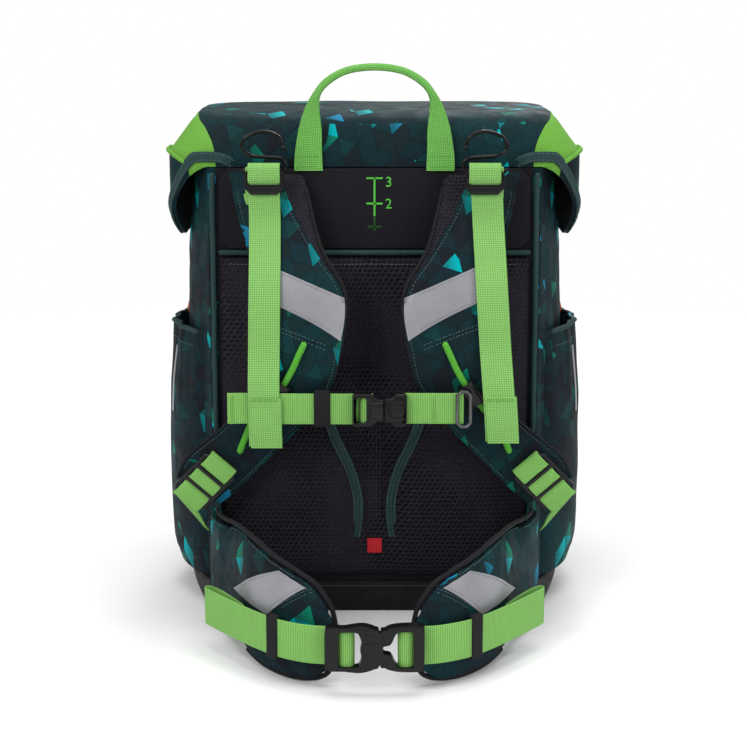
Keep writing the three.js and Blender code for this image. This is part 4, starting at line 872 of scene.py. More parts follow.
# ---------------------------------------------------------------- body, tray and lid
def body_ring(z, grow, steps=10, wrinkle=0.0):
    side, front = soft_table(BODY_LEVELS, z / BODY_HEIGHT)
    side = SIDE_HALF * side + grow
    front = BODY_DEPTH / 2 * front + grow
    back = BACK_HALF + grow
    front_half = FRONT_HALF + side - SIDE_HALF
    back_y = BACK_Y - grow
    start = np.array((back + 0.2 * BACK_CORNER, back_y + BACK_CORNER))
    end = np.array((front_half, front - FRONT_CORNER))
    handle = (side - (start[0] + end[0]) / 8) / 0.75
    reach = (end[1] - start[1]) / 3
    one, two = np.array((handle, start[1] + reach)), np.array((handle, end[1] - reach))
    flat = [np.array((x, back_y)) for x in np.linspace(0, back - BACK_CORNER, steps * 2)]
    corner = [bezier(t, flat[-1], np.array((back, back_y)), start) for t in np.linspace(0, 1, steps)[1:]]
    curve = [bezier(t, start, one, two, end) for t in np.linspace(0, 1, steps * 3)[1:]]
    rounding = end, np.array((front_half, front)), np.array((front_half - FRONT_CORNER, front))
    turn = [bezier(t, *rounding) for t in np.linspace(0, 1, steps)[1:]]
    face = [np.array((x, front)) for x in np.linspace(front_half - FRONT_CORNER, 0, steps)[1:]]
    right = flat + corner + curve + turn + face
    ring = [P(p[0], p[1], z) for p in right] + [P(-p[0], p[1], z) for p in right[-2:0:-1]]
    if wrinkle:
        for p in ring:
            free = smooth(BACK_Y + 4, BACK_Y + 25, p[1]) * smooth(0, 60, z - BOOT_HEIGHT)
            fold = wobble(P(p[0], p[1] * 2.2, z * 0.55), 34, 3.1) + 0.5 * wobble(p, 17, 8.4)
            p[0] += math.copysign(wrinkle * free * fold, p[0]) if abs(p[0]) > 60 else 0
            p[1] += wrinkle * free * fold if abs(p[0]) < 140 else 0
    return ring


def body_side(y, z):
    ring = np.array([p for p in body_ring(min(z, BODY_HEIGHT - GAP), 0, 6) if p[0] >= 0])
    order = ring[(ring[:, 0] > BACK_HALF - 10)]
    order = order[np.argsort(order[:, 1])]
    return float(np.interp(y, order[:, 1], order[:, 0]))


def make_body():
    low, high = BOOT_FLOOR + GAP, BODY_HEIGHT - GAP
    heights = list(np.linspace(low, high, 64))
    outside = [body_ring(z, 0, 10, 1.5) for z in heights]
    inside = [body_ring(z, -CLOTH, 10) for z in np.linspace(low + CLOTH, high, 18)]
    obj = loft("bag_body", outside + inside[::-1], PRINT)
    obj.data.materials.append(LINING_PAINTED_FILL)
    obj.data.materials.append(PLATE)
    for face in obj.data.polygons:
        c, n = face.center * IN_MM, face.normal
        if n.dot(c - Vector((0, 0, c.z if abs(n.z) < 0.7 else 190))) < 0 and c.z < high - 0.5:
            face.material_index = 1
        elif c.y < BACK_Y + 1.5 and abs(c.x) < BACK_HALF - 8:
            face.material_index = 2
    attach(obj, "print", "body_shell")


def make_boot():
    wall = GAP + BOOT_WALL
    profile = [
        (0.0, GAP + 0.6), (1.2, wall - 0.5), (3.0, wall), (8.0, wall), (14.0, wall), (20.0, wall),
        (24.4, wall), (25.6, wall - 0.5), (26.0, wall - 1.2), (25.6, GAP + 0.3), (24.6, GAP), (14.0, GAP),
        (6.0, GAP), (BOOT_FLOOR, GAP),
    ]
    obj = loft("base_tray", [body_ring(z, grow, 9) for z, grow in profile], BOOT, angle=35)
    attach(obj, "boot", "base_boot")
    seam = [p + unit(P(p[0], p[1], 0)) * 0.1 for p in body_ring(22.5, GAP + BOOT_WALL, 9)]
    seam.append(seam[0])
    cord_obj = cord("tray_seam", along(seam, 6), 0.5, THREAD_BLACK, 6, ends=False)
    attach(cord_obj, "boot")


LID_BACK = BODY_DEPTH / 2 + 1
LID_FRONT = BODY_DEPTH / 2 + LID_OVERHANG
FLAP_LOW = BODY_HEIGHT - FLAP_DROP
FLAP_ARC = FLAP_DROP * 1.1


def lid_ring(z, side, back, front, inset, steps=12):
    half = LID_HALF * side - inset
    rear = -LID_BACK * back + inset
    fore = LID_FRONT * front - inset
    radius = min(LID_CORNER - inset, (fore - rear) / 2 - 1)
    ring = []
    for x, y, turn in (
        (half - radius, rear + radius, -1), (half - radius, fore - radius, 0),
        (-half + radius, fore - radius, 1), (-half + radius, rear + radius, 2),
    ):
        for k in range(steps + 1):
            angle = (turn + k / steps) * math.pi / 2
            ring.append((x + radius * math.cos(angle), y + radius * math.sin(angle)))
    dense = []
    for k, p in enumerate(ring):
        q = ring[(k + 1) % len(ring)]
        if k % (steps + 1) == steps:
            dense += [(mix(p[0], q[0], s / 14), mix(p[1], q[1], s / 14)) for s in range(14)]
        else:
            dense.append(p)
    return [P(x, y, z) for x, y in dense]


def lid_form(name, bottom, inset, material):
    rows = catmull(LID_LEVELS, 25)
    rings = []
    for rise, side, back, front in rows:
        z = BODY_HEIGHT + LID_RISE * rise - inset
        sag = 0.0 if inset else 1.0
        ring = lid_ring(z, side, back, front, inset)
        for p in ring:
            p[2] += sag * 1.3 * wobble(P(p[0], p[1] * 1.5, 0), 60, 5.2) * smooth(0.5, 0.95, rise)
        rings.append(ring)
    first = BODY_HEIGHT + LID_RISE * LID_LEVELS[0, 0] - inset
    skirt = [lid_ring(z, 1, 1, 1, inset) for z in np.linspace(bottom, first, 26)[:-1]]
    crown = rings[-1]
    middle = np.mean(crown, 0)
    inner = [[mix(p, middle, s) for p in crown] for s in (0.35, 0.7)]
    return loft(name, skirt + rings + inner, material)


def lid_edge(y):
    t = np.clip((y + LID_BACK - CLOTH - GAP) / FLAP_ARC, 0, 1)
    return BODY_HEIGHT + GAP - FLAP_DROP * math.sin(math.pi / 2 * t)


def prism(name, outline, low, high, axis):
    """A solid with an outline in the plane across the x or y axis."""
    rings = [[P(at, a, b) if axis == "x" else P(a, at, b) for a, b in outline] for at in (low, high)]
    count = len(outline)
    faces = [(k, (k + 1) % count, count + (k + 1) % count, count + k) for k in range(count)]
    faces += [list(range(count))[::-1], list(range(count, 2 * count))]
    return build(name, np.concatenate(rings), faces, PRINT)


def lid_region():
    outline = [(-LID_BACK - 30, BODY_HEIGHT + GAP)]
    for k in range(25):
        y = -LID_BACK + CLOTH + GAP + FLAP_ARC * k / 24
        outline.append((y, lid_edge(y)))
    outline += [
        (LID_FRONT + 30, FLAP_LOW + GAP), (LID_FRONT + 30, BODY_HEIGHT + LID_RISE + 30),
        (-LID_BACK - 30, BODY_HEIGHT + LID_RISE + 30),
    ]
    region = prism("region", outline, -LID_HALF - 30, LID_HALF + 30, "x")
    top, low = FLAP_LOW + 40, BODY_HEIGHT - FRONT_FLAP_DROP
    half, r = FRONT_FLAP_HALF, FRONT_FLAP_CORNER
    flap = [(half, top), (-half, top), *arc(r - half, low + r, r, 2, 3), *arc(half - r, low + r, r, 3, 4)]
    front = prism("front_region", flap, LID_FRONT - 12, LID_FRONT + 29, "y")
    boolean(region, front, "UNION")
    drop(front)
    return region


def corner_region(sign, grow):
    crest = BODY_HEIGHT + LID_RISE + 20
    inner = catmull([
        (LID_HALF * 0.87, crest), (LID_HALF * 0.845, BODY_HEIGHT + LID_RISE * 0.94),
        (LID_HALF * 0.79, BODY_HEIGHT + LID_RISE * 0.7), (LID_HALF * 0.745, BODY_HEIGHT + LID_RISE * 0.3),
        (LID_HALF * 0.74, BODY_HEIGHT - 20),
    ], 21)
    outline = [(x - grow, z) for x, z in inner]
    outline += [
        (LID_HALF * 0.86, BODY_HEIGHT - 20), (LID_HALF * 0.88, BODY_HEIGHT + 2 - grow),
        (LID_HALF + 20, BODY_HEIGHT + LID_RISE * 0.45 - grow), (LID_HALF + 20, crest),
    ]
    outline = [(sign * x, z) for x, z in outline]
    return prism("corner_region", outline, -LID_BACK - 30, CORNER_PATCH_DEPTH + grow - LID_BACK, "y")


def only_material(obj, material):
    obj.data.materials.clear()
    obj.data.materials.append(material)
    for face in obj.data.polygons:
        face.material_index = 0


def line_inside(obj):
    """Gives the faces that look into the bag the lining, whose colour is painted lighter than black as
    painted fill light.
    """
    obj.data.materials.append(LINING_PAINTED_FILL)
    for face in obj.data.polygons:
        c, n = face.center * IN_MM, face.normal
        if n.dot(c - Vector((0, 5, min(c.z, 370)))) < -2:
            face.material_index = 1


def make_lid():
    bottom = BODY_HEIGHT - FRONT_FLAP_DROP - 20
    shell = lid_form("lid_cover", bottom, 0, PRINT)
    hollow = lid_form("hollow", bottom - 10, CLOTH, PRINT)
    boolean(shell, hollow, "DIFFERENCE")
    region = lid_region()
    boolean(shell, region, "INTERSECT")
    for side, sign in SIDES:
        tight, loose = corner_region(sign, 0), corner_region(sign, GAP)
        corner = copy_of(shell, "elastic_corner_" + side)
        boolean(corner, tight, "INTERSECT")
        boolean(shell, loose, "DIFFERENCE")
        drop(tight, loose)
        only_material(corner, PATCH)
        line_inside(corner)
        shade(corner, 40)
        attach(corner, "patch", "lid_corner_" + side)
    drop(hollow, region)
    only_material(shell, PRINT)
    line_inside(shell)
    shade(shell, 40)
    attach(shell, "print", "lid")
    return shell


def lid_outline(sign, turned, off):
    """A place on the lid's skirt seen from above, round the rear corner, with its outward direction."""
    angle = math.radians(turned - 90)
    front = P(sign * math.cos(angle), math.sin(angle), 0)
    middle = P(sign * (LID_HALF - LID_CORNER), -LID_BACK + LID_CORNER, 0)
    return middle + front * (LID_CORNER + off), front


def make_lid_trim():
    for side, sign in SIDES:
        # Bound edge of the side flap, from the back seam round the corner and forward.
        places, fronts = [], []
        for share in np.linspace(0, 1, 9)[:-1]:
            x = sign * mix(0.66, 0.74, share) * LID_HALF
            sunk = 2.6 * (1 - smooth(0.0, 0.6, share))
            places.append(P(x, sunk - LID_BACK - 1.2, BODY_HEIGHT + 3 + 5 * math.sin(share * math.pi / 2)))
            fronts.append(OUT)
        for turned in np.linspace(2, 90, 26):
            p, front = lid_outline(sign, turned, 1.2)
            drop_to = lid_edge(p[1])
            lift = mix(8.0, 3.8, smooth(10, 60, turned))
            places.append(P(p[0], p[1], drop_to + lift))
            fronts.append(front)
        for y in np.linspace(-LID_BACK + LID_CORNER, LID_FRONT - LID_CORNER, 24)[1:]:
            places.append(P(sign * (LID_HALF + 1.2), y, lid_edge(y) + 3.8))
            fronts.append(P(sign, 0, 0))
        places = catmull(places, 160)
        fronts = catmull(fronts, 160)
        rows = path_rows(places, 8.5, 2.2, normal=fronts)
        obj = strap("flap_binding_" + side, rows, BINDING, 1.05)
        attach(obj, "piping", "lid_binding_" + side)
        tree = tree_of(obj)
        for k, off in enumerate((-2.6, 2.6)):
            line = [m + a * off + n * 1.1 for m, a, n, _, _ in rows]
            pieces = runs(line, lambda i: fronts[i], 9, 8, len(line) - 8)
            stitches(f"flap_stitches_{side}_{k}", pieces, THREAD, "piping", tree, 3.0)
        # Rolled hem of the elastic corner.
        hem = []
        for turned in np.linspace(-4, 90, 28):
            p, front = lid_outline(sign, max(0, turned), 0.7)
            x = abs(p[0])
            rise = (x - LID_HALF * 0.88) / (LID_HALF * 0.12 + 20)
            z = BODY_HEIGHT + 2 + rise * (LID_RISE * 0.45 - 2)
            if x > LID_HALF * 0.88:
                hem.append(P(p[0], p[1], z))
        for y in (-LID_BACK + LID_CORNER + 4, -LID_BACK + CORNER_PATCH_DEPTH):
            hem.append(P(hem[-1][0], y, hem[-1][2]))
        obj = cord("corner_hem_" + side, along(catmull(hem, 60), 2.5), 1.9, PATCH, 10)
        attach(obj, "patch")


HANG_FROM, HEM_LEVEL = 354, 316


def tuck(p):
    """The side flaps hang in towards the bag, and their hems a little lower."""
    deep = smooth(HANG_FROM, HEM_LEVEL, p[2]) if p[2] < HANG_FROM else 0.0
    side = smooth(120, 165, abs(p[0]))
    pull = 3.2 * smooth(140, 172, abs(p[0])) + 8.5 * deep * deep * side
    fall = 5.0 * side * smooth(345, 318, p[2]) * (p[2] > 300)
    return P(-math.copysign(pull, p[0]), 0, -fall)


def make_front(lid):
    refine("lid_clasp", "front_clasp", PLASTIC, "plastic", 0.0008)
    inset, r = 5, FRONT_FLAP_CORNER
    half, low = FRONT_FLAP_HALF - r, BODY_HEIGHT - FRONT_FLAP_DROP + r
    side = half + r - inset
    edge = [(-side, FLAP_LOW + 30), *arc(-half, low, r - inset, 2, 3), *arc(half, low, r - inset, 3, 4)]
    edge = [P(x, LID_FRONT, z) for x, z in edge + [(side, FLAP_LOW + 30)]]
    stitches("front_flap_stitches", [(edge, (0, 1, 0))], THREAD, "print", tree_of(lid), 3.4)


# ---------------------------------------------------------------- back
CUSHION_LOW = BOOT_HEIGHT + 4
CUSHION_HIGH = BODY_HEIGHT - PLATE_HEIGHT - 6


def cushion_thick(x, z):
    across = abs(x) / CUSHION_HALF
    up = (z - CUSHION_LOW) / (CUSHION_HIGH - CUSHION_LOW)
    edge = (1 - smooth(0.76, 0.94, across)) * smooth(0, 0.09, up) * (1 - smooth(0.93, 1, up))
    channel = 0.5 * (1 - smooth(CHANNEL_HALF * 0.6, CHANNEL_HALF * 1.9, abs(x)))
    swell = smooth(0.06, 0.3, up) * (1 - smooth(0.36, 0.56, up)) * (1 - smooth(0.45, 0.8, across))
    pad = CUSHION_PAD * (1 - channel) + LUMBAR_SWELL * swell * smooth(0.08, 0.3, across)
    return mix(CUSHION_EDGE, pad, edge)


def make_cushion():
    base = BACK_Y - GAP
    xs = np.linspace(-CUSHION_HALF, CUSHION_HALF, 85)
    zs = np.linspace(CUSHION_LOW, CUSHION_HIGH, 91)
    front = [[P(x, base - cushion_thick(x, z) + 1.2, z) for x in xs] for z in zs]
    back = [[P(x, base, z) for x in xs] for z in zs]
    obj = sheet_block("back_padding", front, back, CUSHION_MESH)

    def keep(p):
        return smooth(-1.5, -4, p[1] - base) if p[1] < base - 1.5 else 0.0

    puff(obj, 0.0042, 3.0, 0.003, 16, keep)

    def relief(p):
        if p[1] > base - 1.2:
            return P(0, min(0, base - p[1]), 0)
        x, z = abs(p[0]), p[2]
        groove = 1.6 * math.exp(-((x - 6.0) / 1.4) ** 2) * smooth(60, 90, z)
        ripple = 0.7 * wobble(P(p[0], 0, z), 22, 4.4) + 0.35 * wobble(P(p[0], 0, z), 9, 1.7)
        return P(0, groove + ripple * smooth(8, 22, x), 0)

    move_points(obj, relief)
    shade(obj, 80)
    attach(obj, "mesh", "back_cushion")
    tree = tree_of(obj)

    def on_back(x, z, lift):
        p, _ = snap(tree, P(x, base - 12, z), OUT)
        return P(p[0], p[1] - lift, p[2])

    # Piping across the top of the cushion with its stitch line.
    seam = CUSHION_HIGH + 3
    line = []
    for x in np.linspace(-CUSHION_HALF, CUSHION_HALF, 60):
        line.append(P(x, base - PIPING_RADIUS - 0.25 * wobble(P(x, 0, 0), 18, 2.2), seam))
    attach(cord("cushion_cord", line, PIPING_RADIUS, BINDING), "piping", "cushion_piping")
    row = [on_back(x, CUSHION_HIGH - 6, 0) for x in np.linspace(-118, 118, 50)]
    stitches("cushion_stitches", [(row, OUT)], THREAD, "mesh", tree)
    # Lumbar cords: a stitched double band on each side of the channel.
    for side, sign in SIDES:
        bow = catmull(LUMBAR_BOW, 44)
        lifts = 0.9 - 2.6 * smooth(0.8, 1.0, np.linspace(0, 1, len(bow)))
        places = [on_back(sign * a * BACK_HALF, u * BODY_HEIGHT, lift) for (a, u), lift in zip(bow, lifts)]
        places = catmull(places[::3] + [places[-1]], 60)
        rows = path_rows(places, 8.6, 2.2, normal=OUT)
        obj = strap("lumbar_band_" + side, rows, BINDING, 1.0)
        attach(obj, "piping", "lumbar_piping_" + side)
        inner = [row[0] + OUT * 1.3 for row in rows]
        attach(cord("lumbar_cord_" + side, along(inner, 2.5), 1.3, BINDING, 10), "piping")
        lines = [([row[0] + row[1] * off for row in rows], OUT) for off in (-3.2, 3.2)]
        stitches("lumbar_stitches_" + side, lines, THREAD, "piping", tree_of(obj), 2.6)
    # Stitched column in the channel.
    lines = []
    for x in (-4.4, -1.5, 1.5, 4.4):
        lines.append(([on_back(x, z, 0) for z in np.linspace(84, 168, 30)], OUT))
    stitches("channel_stitches", lines, THREAD_BLACK, "mesh", tree, 2.6)
    # Cords in the two back corners.
    for side, sign in SIDES:
        x = sign * (BACK_HALF - 5)
        y = base - PIPING_RADIUS
        levels = np.linspace(BOOT_HEIGHT + 6, BODY_HEIGHT - 4, 90)
        line = [P(x + 0.5 * wobble(P(0, 0, z), 40, sign), y, z) for z in levels]
        attach(cord("corner_cord_" + side, line, PIPING_RADIUS, BINDING), "piping", "body_piping_" + side)
    # Red tab, sewn in at the end of the channel.
    z = 0.16 * BODY_HEIGHT
    front, back = [], []
    for v in np.linspace(-6.2, 6.2, 12):
        bends = [(u, 0.25 * math.sin(u * 0.5 + v * 0.2) - 1.1) for u in np.linspace(-6, 6, 12)]
        front.append([on_back(0, z, 0) + P(u, bend, v) for u, bend in bends])
        back.append([p + P(0, 0.7, 0) for p in front[-1]])
    attach(sheet_block("sewn_tab", front, back, TAB, 70), "tab", "red_tab")
    # Plate with its printed size scale.
    refine("back_plate", "upper_plate", PLATE, "plate", 0.0006)
    face = BACK_Y - GAP - PLATE_THICK
    marks, faces = [], []

    def bar(x0, x1, z0, z1):
        start = len(marks)
        corners = ((x0, z0), (x1, z0), (x1, z1), (x0, z1))
        marks.extend([P(x, y, zz) for y in (face - 0.22, face + 0.1) for x, zz in corners])
        for f in ((0, 1, 2, 3), (7, 6, 5, 4), (0, 4, 5, 1), (1, 5, 6, 2), (2, 6, 7, 3), (3, 7, 4, 0)):
            faces.append([start + i for i in f])

    bar(-0.75, 0.75, 336, 367)
    for zz, half in ((366.5, 6.6), (346.0, 6.6)):
        bar(-half, half, zz - 0.7, zz + 0.7)
    attach(build("size_scale", marks, faces, MARK, 30), "plate")
    marks, faces = [], []
    bar(-0.75, 0.75, 324, 335.9)
    bar(-5.6, 5.6, 326.5, 327.9)
    attach(build("size_scale_low", marks, faces, MARK_FADED, 30), "plate")
    for k, (text, zz) in enumerate((("3", 359.6), ("2", 342.0))):
        curve = bpy.data.curves.new("size_number", "FONT")
        curve.body, curve.size, curve.extrude = text, 0.0115, 0.00012
        drawn = add_object("drawn_number", curve)
        drawn.location = (0.0085, (face - 0.1) * MM, zz * MM)
        drawn.rotation_euler = (math.pi / 2, 0, 0)
        mesh = made_mesh(drawn)
        mesh.transform(drawn.matrix_basis)
        drop(drawn)
        mesh.materials.clear()
        mesh.materials.append(MARK)
        attach(add_object(f"size_number_{k}", mesh), "plate")


# ---------------------------------------------------------------- side pockets
POCKET_LOW = BOOT_HEIGHT + GAP


def pocket_point(share, height, sign, inset):
    bulge, gather = soft_table(POCKET_LEVELS, height)
    z = POCKET_LOW + POCKET_HEIGHT * height
    y = mix(POCKET_BACK + inset * 0.6, POCKET_FRONT - inset * 0.6, share)
    dome = math.sqrt(max(0.0, math.sin(math.pi * share)))
    ripple = 1.3 * gather * math.cos(2 * math.pi * 5 * share) * dome
    ripple += gather * 0.7 * math.sin(2 * math.pi * 13 * share + 5 * height) * dome
    fold = 1.1 * wobble(P(sign * 50, y * 1.6, z * 0.7), 26, 6.6) * smooth(0, 0.2, height) * dome
    reach = max(0.3, POCKET_BULGE * bulge * dome + ripple + fold - inset)
    return P(sign * (body_side(y, z) + reach), y, z)


def make_pockets():
    for side, sign in SIDES:
        shares, heights = np.linspace(0, 1, 56), np.linspace(0, 1, 54)
        outer = [[pocket_point(s, h, sign, 0) for s in shares] for h in heights]
        inner = [[pocket_point(s, max(h, 0.012), sign, 1.9) for s in shares] for h in heights]
        obj = sheet_block("side_bag_" + side, outer, inner, PRINT, 60)
        line_inside(obj)
        attach(obj, "print", "side_pocket_" + side)
        tree = tree_of(obj)
        # Elastic hem round the mouth.
        hem = [pocket_point(s, 0.985, sign, 0.8) for s in np.linspace(0.02, 0.98, 90)]
        hem = [p + P(sign * 0.6, 0, 1.2) for p in hem]
        attach(cord("pocket_hem_" + side, hem, 2.0, BINDING, 10), "piping")
        lines = []
        for h in (0.93, 0.055):
            lines.append(([pocket_point(s, h, sign, 0) for s in np.linspace(0.06, 0.94, 60)], (sign, 0, 0)))
        stitches("pocket_stitches_" + side, lines, THREAD, "print", tree)
        # Thin reflective trim near the pocket's rear edge.
        outward = P(sign, 0, 0)
        places = [snap(tree, pocket_point(0.3, h, sign, 0), outward)[0] for h in np.linspace(0.63, 0.9, 20)]
        rows = path_rows([p + outward * 0.5 for p in places], 5.0, 0.7, normal=P(sign, -0.3, 0))
        attach(strap("pocket_film_" + side, rows, FILM, 0.3), "reflective")
        # Zip pull above the pocket.
        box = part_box("zip_pull_" + side)
        low, high = np.array(box[0]) * IN_MM, np.array(box[1]) * IN_MM
        far, near = (low[0], high[0]) if sign < 0 else (high[0], low[0])
        deep = (low[1] + high[1]) / 2
        top, end = P(near + sign * 3.4, deep, high[2]), P(far + sign * 2.4, deep, low[2])
        shares = np.linspace(0, 1, 14)
        places = [mix(top, end, t) + outward * 0.8 * math.sin(math.pi * t) for t in shares]
        rows = path_rows(places, 5.0 + 3.0 * smooth(0.0, 0.5, shares), 2.2, across=P(0, 1, 0))
        attach(strap("pull_" + side, rows, ZIP, 0.9), "zip", "zip_pull_" + side)


# ---------------------------------------------------------------- straps on rows
FINE_ROWS = 8  # rows of a surface for each table row
ROW_PITCH = 25  # millimetres between table rows, about
PAD_VOXEL, PAD_PRESSURE, PAD_FRAMES = 0.0042, 3.0, 14


class Surface:
    """A strap's or fin's front: edges a and b and the normal for each fine row. v counts table rows."""

    def __init__(self, a, b, fine, up_side):
        self.fine = fine
        last = len(a) - 1
        self.a, self.b = catmull(a, last * fine + 1), catmull(b, last * fine + 1)
        self.n = []
        for i in range(len(self.a)):
            i0, i1 = max(0, i - fine // 2), min(len(self.a) - 1, i + fine // 2)
            step = self.a[i1] + self.b[i1] - self.a[i0] - self.b[i0]
            normal = unit(np.cross(self.b[i] - self.a[i], step))
            self.n.append(normal if float(np.dot(normal, up_side)) > 0 else -normal)

    def at(self, u, v, lift=0.0):
        s = np.clip(v * self.fine, 0, len(self.a) - 1)
        i = min(len(self.a) - 2, int(s))
        t = s - i
        a, b = mix(self.a[i], self.a[i + 1], t), mix(self.b[i], self.b[i + 1], t)
        normal = unit(mix(self.n[i], self.n[i + 1], t))
        return mix(a, b, u) + normal * lift

    def normal(self, v):
        s = np.clip(v * self.fine, 0, len(self.a) - 1)
        return self.n[int(round(s))]

    def rows(self):
        return len(self.a)


def strap_surface(sign):
    a, b = [], []
    for outer, outer_z, inner, inner_z, lift, _, _ in STRAP_ROWS:
        y = BACK_Y - STRAP_BULGE * lift
        a.append(P(sign * outer * BACK_HALF, y, outer_z * BODY_HEIGHT))
        b.append(P(sign * inner * BACK_HALF, y, inner_z * BODY_HEIGHT))
    return Surface(a, b, FINE_ROWS, OUT)


def round_off(share):
    """Height of a quarter circle at a share of its way in."""
    return math.sqrt(max(0.0, 1 - (1 - min(1.0, share)) ** 2))


def slab(surface, thick, lift, margin, edge, pillow, columns=26):
    """Rings of a padded layer on a surface: thick at the middle, rounded at the edges."""
    rings = []
    count = surface.rows()
    for i in range(count):
        v = i / surface.fine
        width = float(np.linalg.norm(surface.b[i] - surface.a[i]))
        run = min(i, count - 1 - i) / surface.fine * ROW_PITCH
        end = min(1.0, 0.35 + 0.65 * round_off(run / edge))
        top, under = [], []
        for k in range(columns + 1):
            share = 0.5 - 0.5 * math.cos(math.pi * k / columns)
            u = mix(margin, 1 - margin, share)
            inside = min(share, 1 - share) * width
            rise = (thick - pillow) * round_off(inside / edge) * end
            rise += pillow * smooth(0, width * 0.4, inside) * end
            middle = lift + thick * 0.5
            top.append(surface.at(u, v, middle + rise * 0.5))
            under.append(surface.at(u, v, middle - rise * 0.5))
        rings.append(top + under[-2:0:-1])
    return rings


def face_margins(v):
    """Outer and inner margin of a strap's printed face at a table row."""
    i = min(len(STRAP_ROWS) - 2, int(v))
    return mix(STRAP_ROWS[i, 5:7], STRAP_ROWS[i + 1, 5:7], v - i)


SEAM_INSET = 3.4  # from a printed face's edge to its stitch line
FACE_LIFT = 2 * GAP
FACE_TOP = FACE_LIFT + FACE_THICK


def patch_grid(surface, corners, steps, lift, wave, seed):
    """Grid of points over a patch of a surface, with a slight ripple."""
    grid = []
    for s in np.linspace(0, 1, steps):
        row = []
        for t in np.linspace(0, 1, steps):
            u, v = spot(corners, s, t)
            row.append(surface.at(u, v, lift + wave * wobble(P(u * 60, v * 25, 0), 14, seed)))
        grid.append(row)
    return grid


def make_shoulder_strap(side, sign):
    surface = strap_surface(sign)
    rings = slab(surface, PAD_THICK - 0.8, -PAD_THICK + 0.4, 0.015, 4.5, 1.2)
    pad = loft("shoulder_padding_" + side, rings, MESH)
    puff(pad, PAD_VOXEL, PAD_PRESSURE, 0.0014, PAD_FRAMES)
    pad_tree = tree_of(pad)
    attach(pad, "mesh", "shoulder_pad_" + side)
    columns = 40
    rings = []
    for i in range(surface.rows()):
        v = i / surface.fine
        left, right = face_margins(v)
        width = float(np.linalg.norm(surface.b[i] - surface.a[i])) * (1 - left - right)
        top, under = [], []
        for k in range(columns + 1):
            share = k / columns
            share = mix(share, 0.5 - 0.5 * math.cos(math.pi * share), 0.7)
            inside = min(share, 1 - share) * width
            u = mix(left, 1 - right, share)
            height = mix(0.3, 1.25, smooth(0, 1.2, inside))
            height -= 0.55 * math.exp(-((inside - SEAM_INSET) / 0.9) ** 2)
            height += 0.85 * smooth(3.6, width * 0.42, inside)
            height += 0.35 * wobble(surface.at(u, v), 13, 7.7) * smooth(4, 10, inside)
            place = surface.at(u, v)
            hit = pad_tree.ray_cast(Vector(place + surface.n[i] * 8), Vector(-surface.n[i]), 12)[0]
            if hit is not None:
                height_here = float(np.dot(np.array(hit) - place, surface.n[i]))
                place = place + surface.n[i] * min(1.6, max(-0.8, height_here))
            for rise in (0.62, 0.665):
                away = abs(v - mix(4.1, 5.1, share) - (rise - 0.62) * 2)
                height -= 0.25 * math.exp(-(away / 0.035) ** 2)
            top.append(place + surface.n[i] * (FACE_LIFT - 0.7 + height))
            under.append(place + surface.n[i] * (FACE_LIFT - 1.6))
        rings.append(top + under[::-1])
    face = loft("shoulder_cover_" + side, rings, PRINT, angle=60)
    attach(face, "print", "shoulder_face_" + side)
    tree = tree_of(face)
    outer_line, inner_line = [], []
    for i in range(4, surface.rows() - 2):
        v = i / surface.fine
        left, right = face_margins(v)
        inset = SEAM_INSET / float(np.linalg.norm(surface.b[i] - surface.a[i]))
        outer_line.append(surface.at(left + inset, v))
        inner_line.append(surface.at(1 - right - inset, v))
    lines = []
    for line in (outer_line, inner_line):
        lines += runs(line, lambda k: surface.n[k + 4], 5, 4, len(line) - 4)
    for off in (0.0, 0.12):
        cross = [surface.at(u, mix(4.1, 5.1, u) + off) for u in np.linspace(0.1, 0.92, 30)]
        lines += runs(cross, surface.normal(4.6), 6, 5, 25)
    stitches("shoulder_stitches_" + side, lines, THREAD, "print", tree, 2.9)
    # Bound edges of the pad.
    for name, u, out in (("outer", 0.0, -1), ("inner", 1.0, 1)):
        places = []
        for i in range(3, surface.rows() - 3):
            v = i / surface.fine
            across = unit(surface.b[i] - surface.a[i]) * out
            p = surface.at(u, v, -2.2)
            hit, _ = snap(pad_tree, p, across, 12)
            places.append(hit + surface.n[i] * 0.8)
        places = catmull(places[::4] + [places[-1]], 130)
        attach(cord(f"pad_edge_{name}_{side}", places, 1.5, KEEPER, 8), "mesh")
    strip = ((0.07, 2.15), (0.94, 3.45), (0.93, 4.75), (0.07, 3.4))
    top = patch_grid(surface, strip, 36, FACE_LIFT + 2.25, 0.22, 2.0 + sign)
    front = surface.normal(3.4)
    top = [[snap(tree, p, front)[0] + front * 0.55 for p in line] for line in top]
    low = [[p - front * 0.9 for p in line] for line in top]
    film = sheet_block("shoulder_film_" + side, top, low, FILM, 50)
    attach(film, "reflective", "shoulder_reflector_" + side)
    lines = []
    for s in (0.07, 0.93):
        row = [surface.at(*spot(strip, s, t), 2) for t in np.linspace(0.03, 0.97, 24)]
        lines += runs(row, front, 5, 4, 20)
    stitches("film_stitches_" + side, lines, THREAD_GREY, "reflective", tree_of(film), 2.8)
    route = [surface.at(u, v, FACE_TOP + 0.6 + RAIL_RADIUS) for u, v in catmull(RAIL_BOW, 70)]
    attach(cord("green_rail_" + side, along(route, 2.2), RAIL_RADIUS, RAIL, 12), "webbing", "rail_" + side)
    return surface


def strap_front(z):
    table = np.array([(row[1], row[4]) for row in STRAP_ROWS])[::-1]
    lift = float(np.interp(z / BODY_HEIGHT, table[:, 0], table[:, 1]))
    return BACK_Y - STRAP_BULGE * lift - FACE_TOP


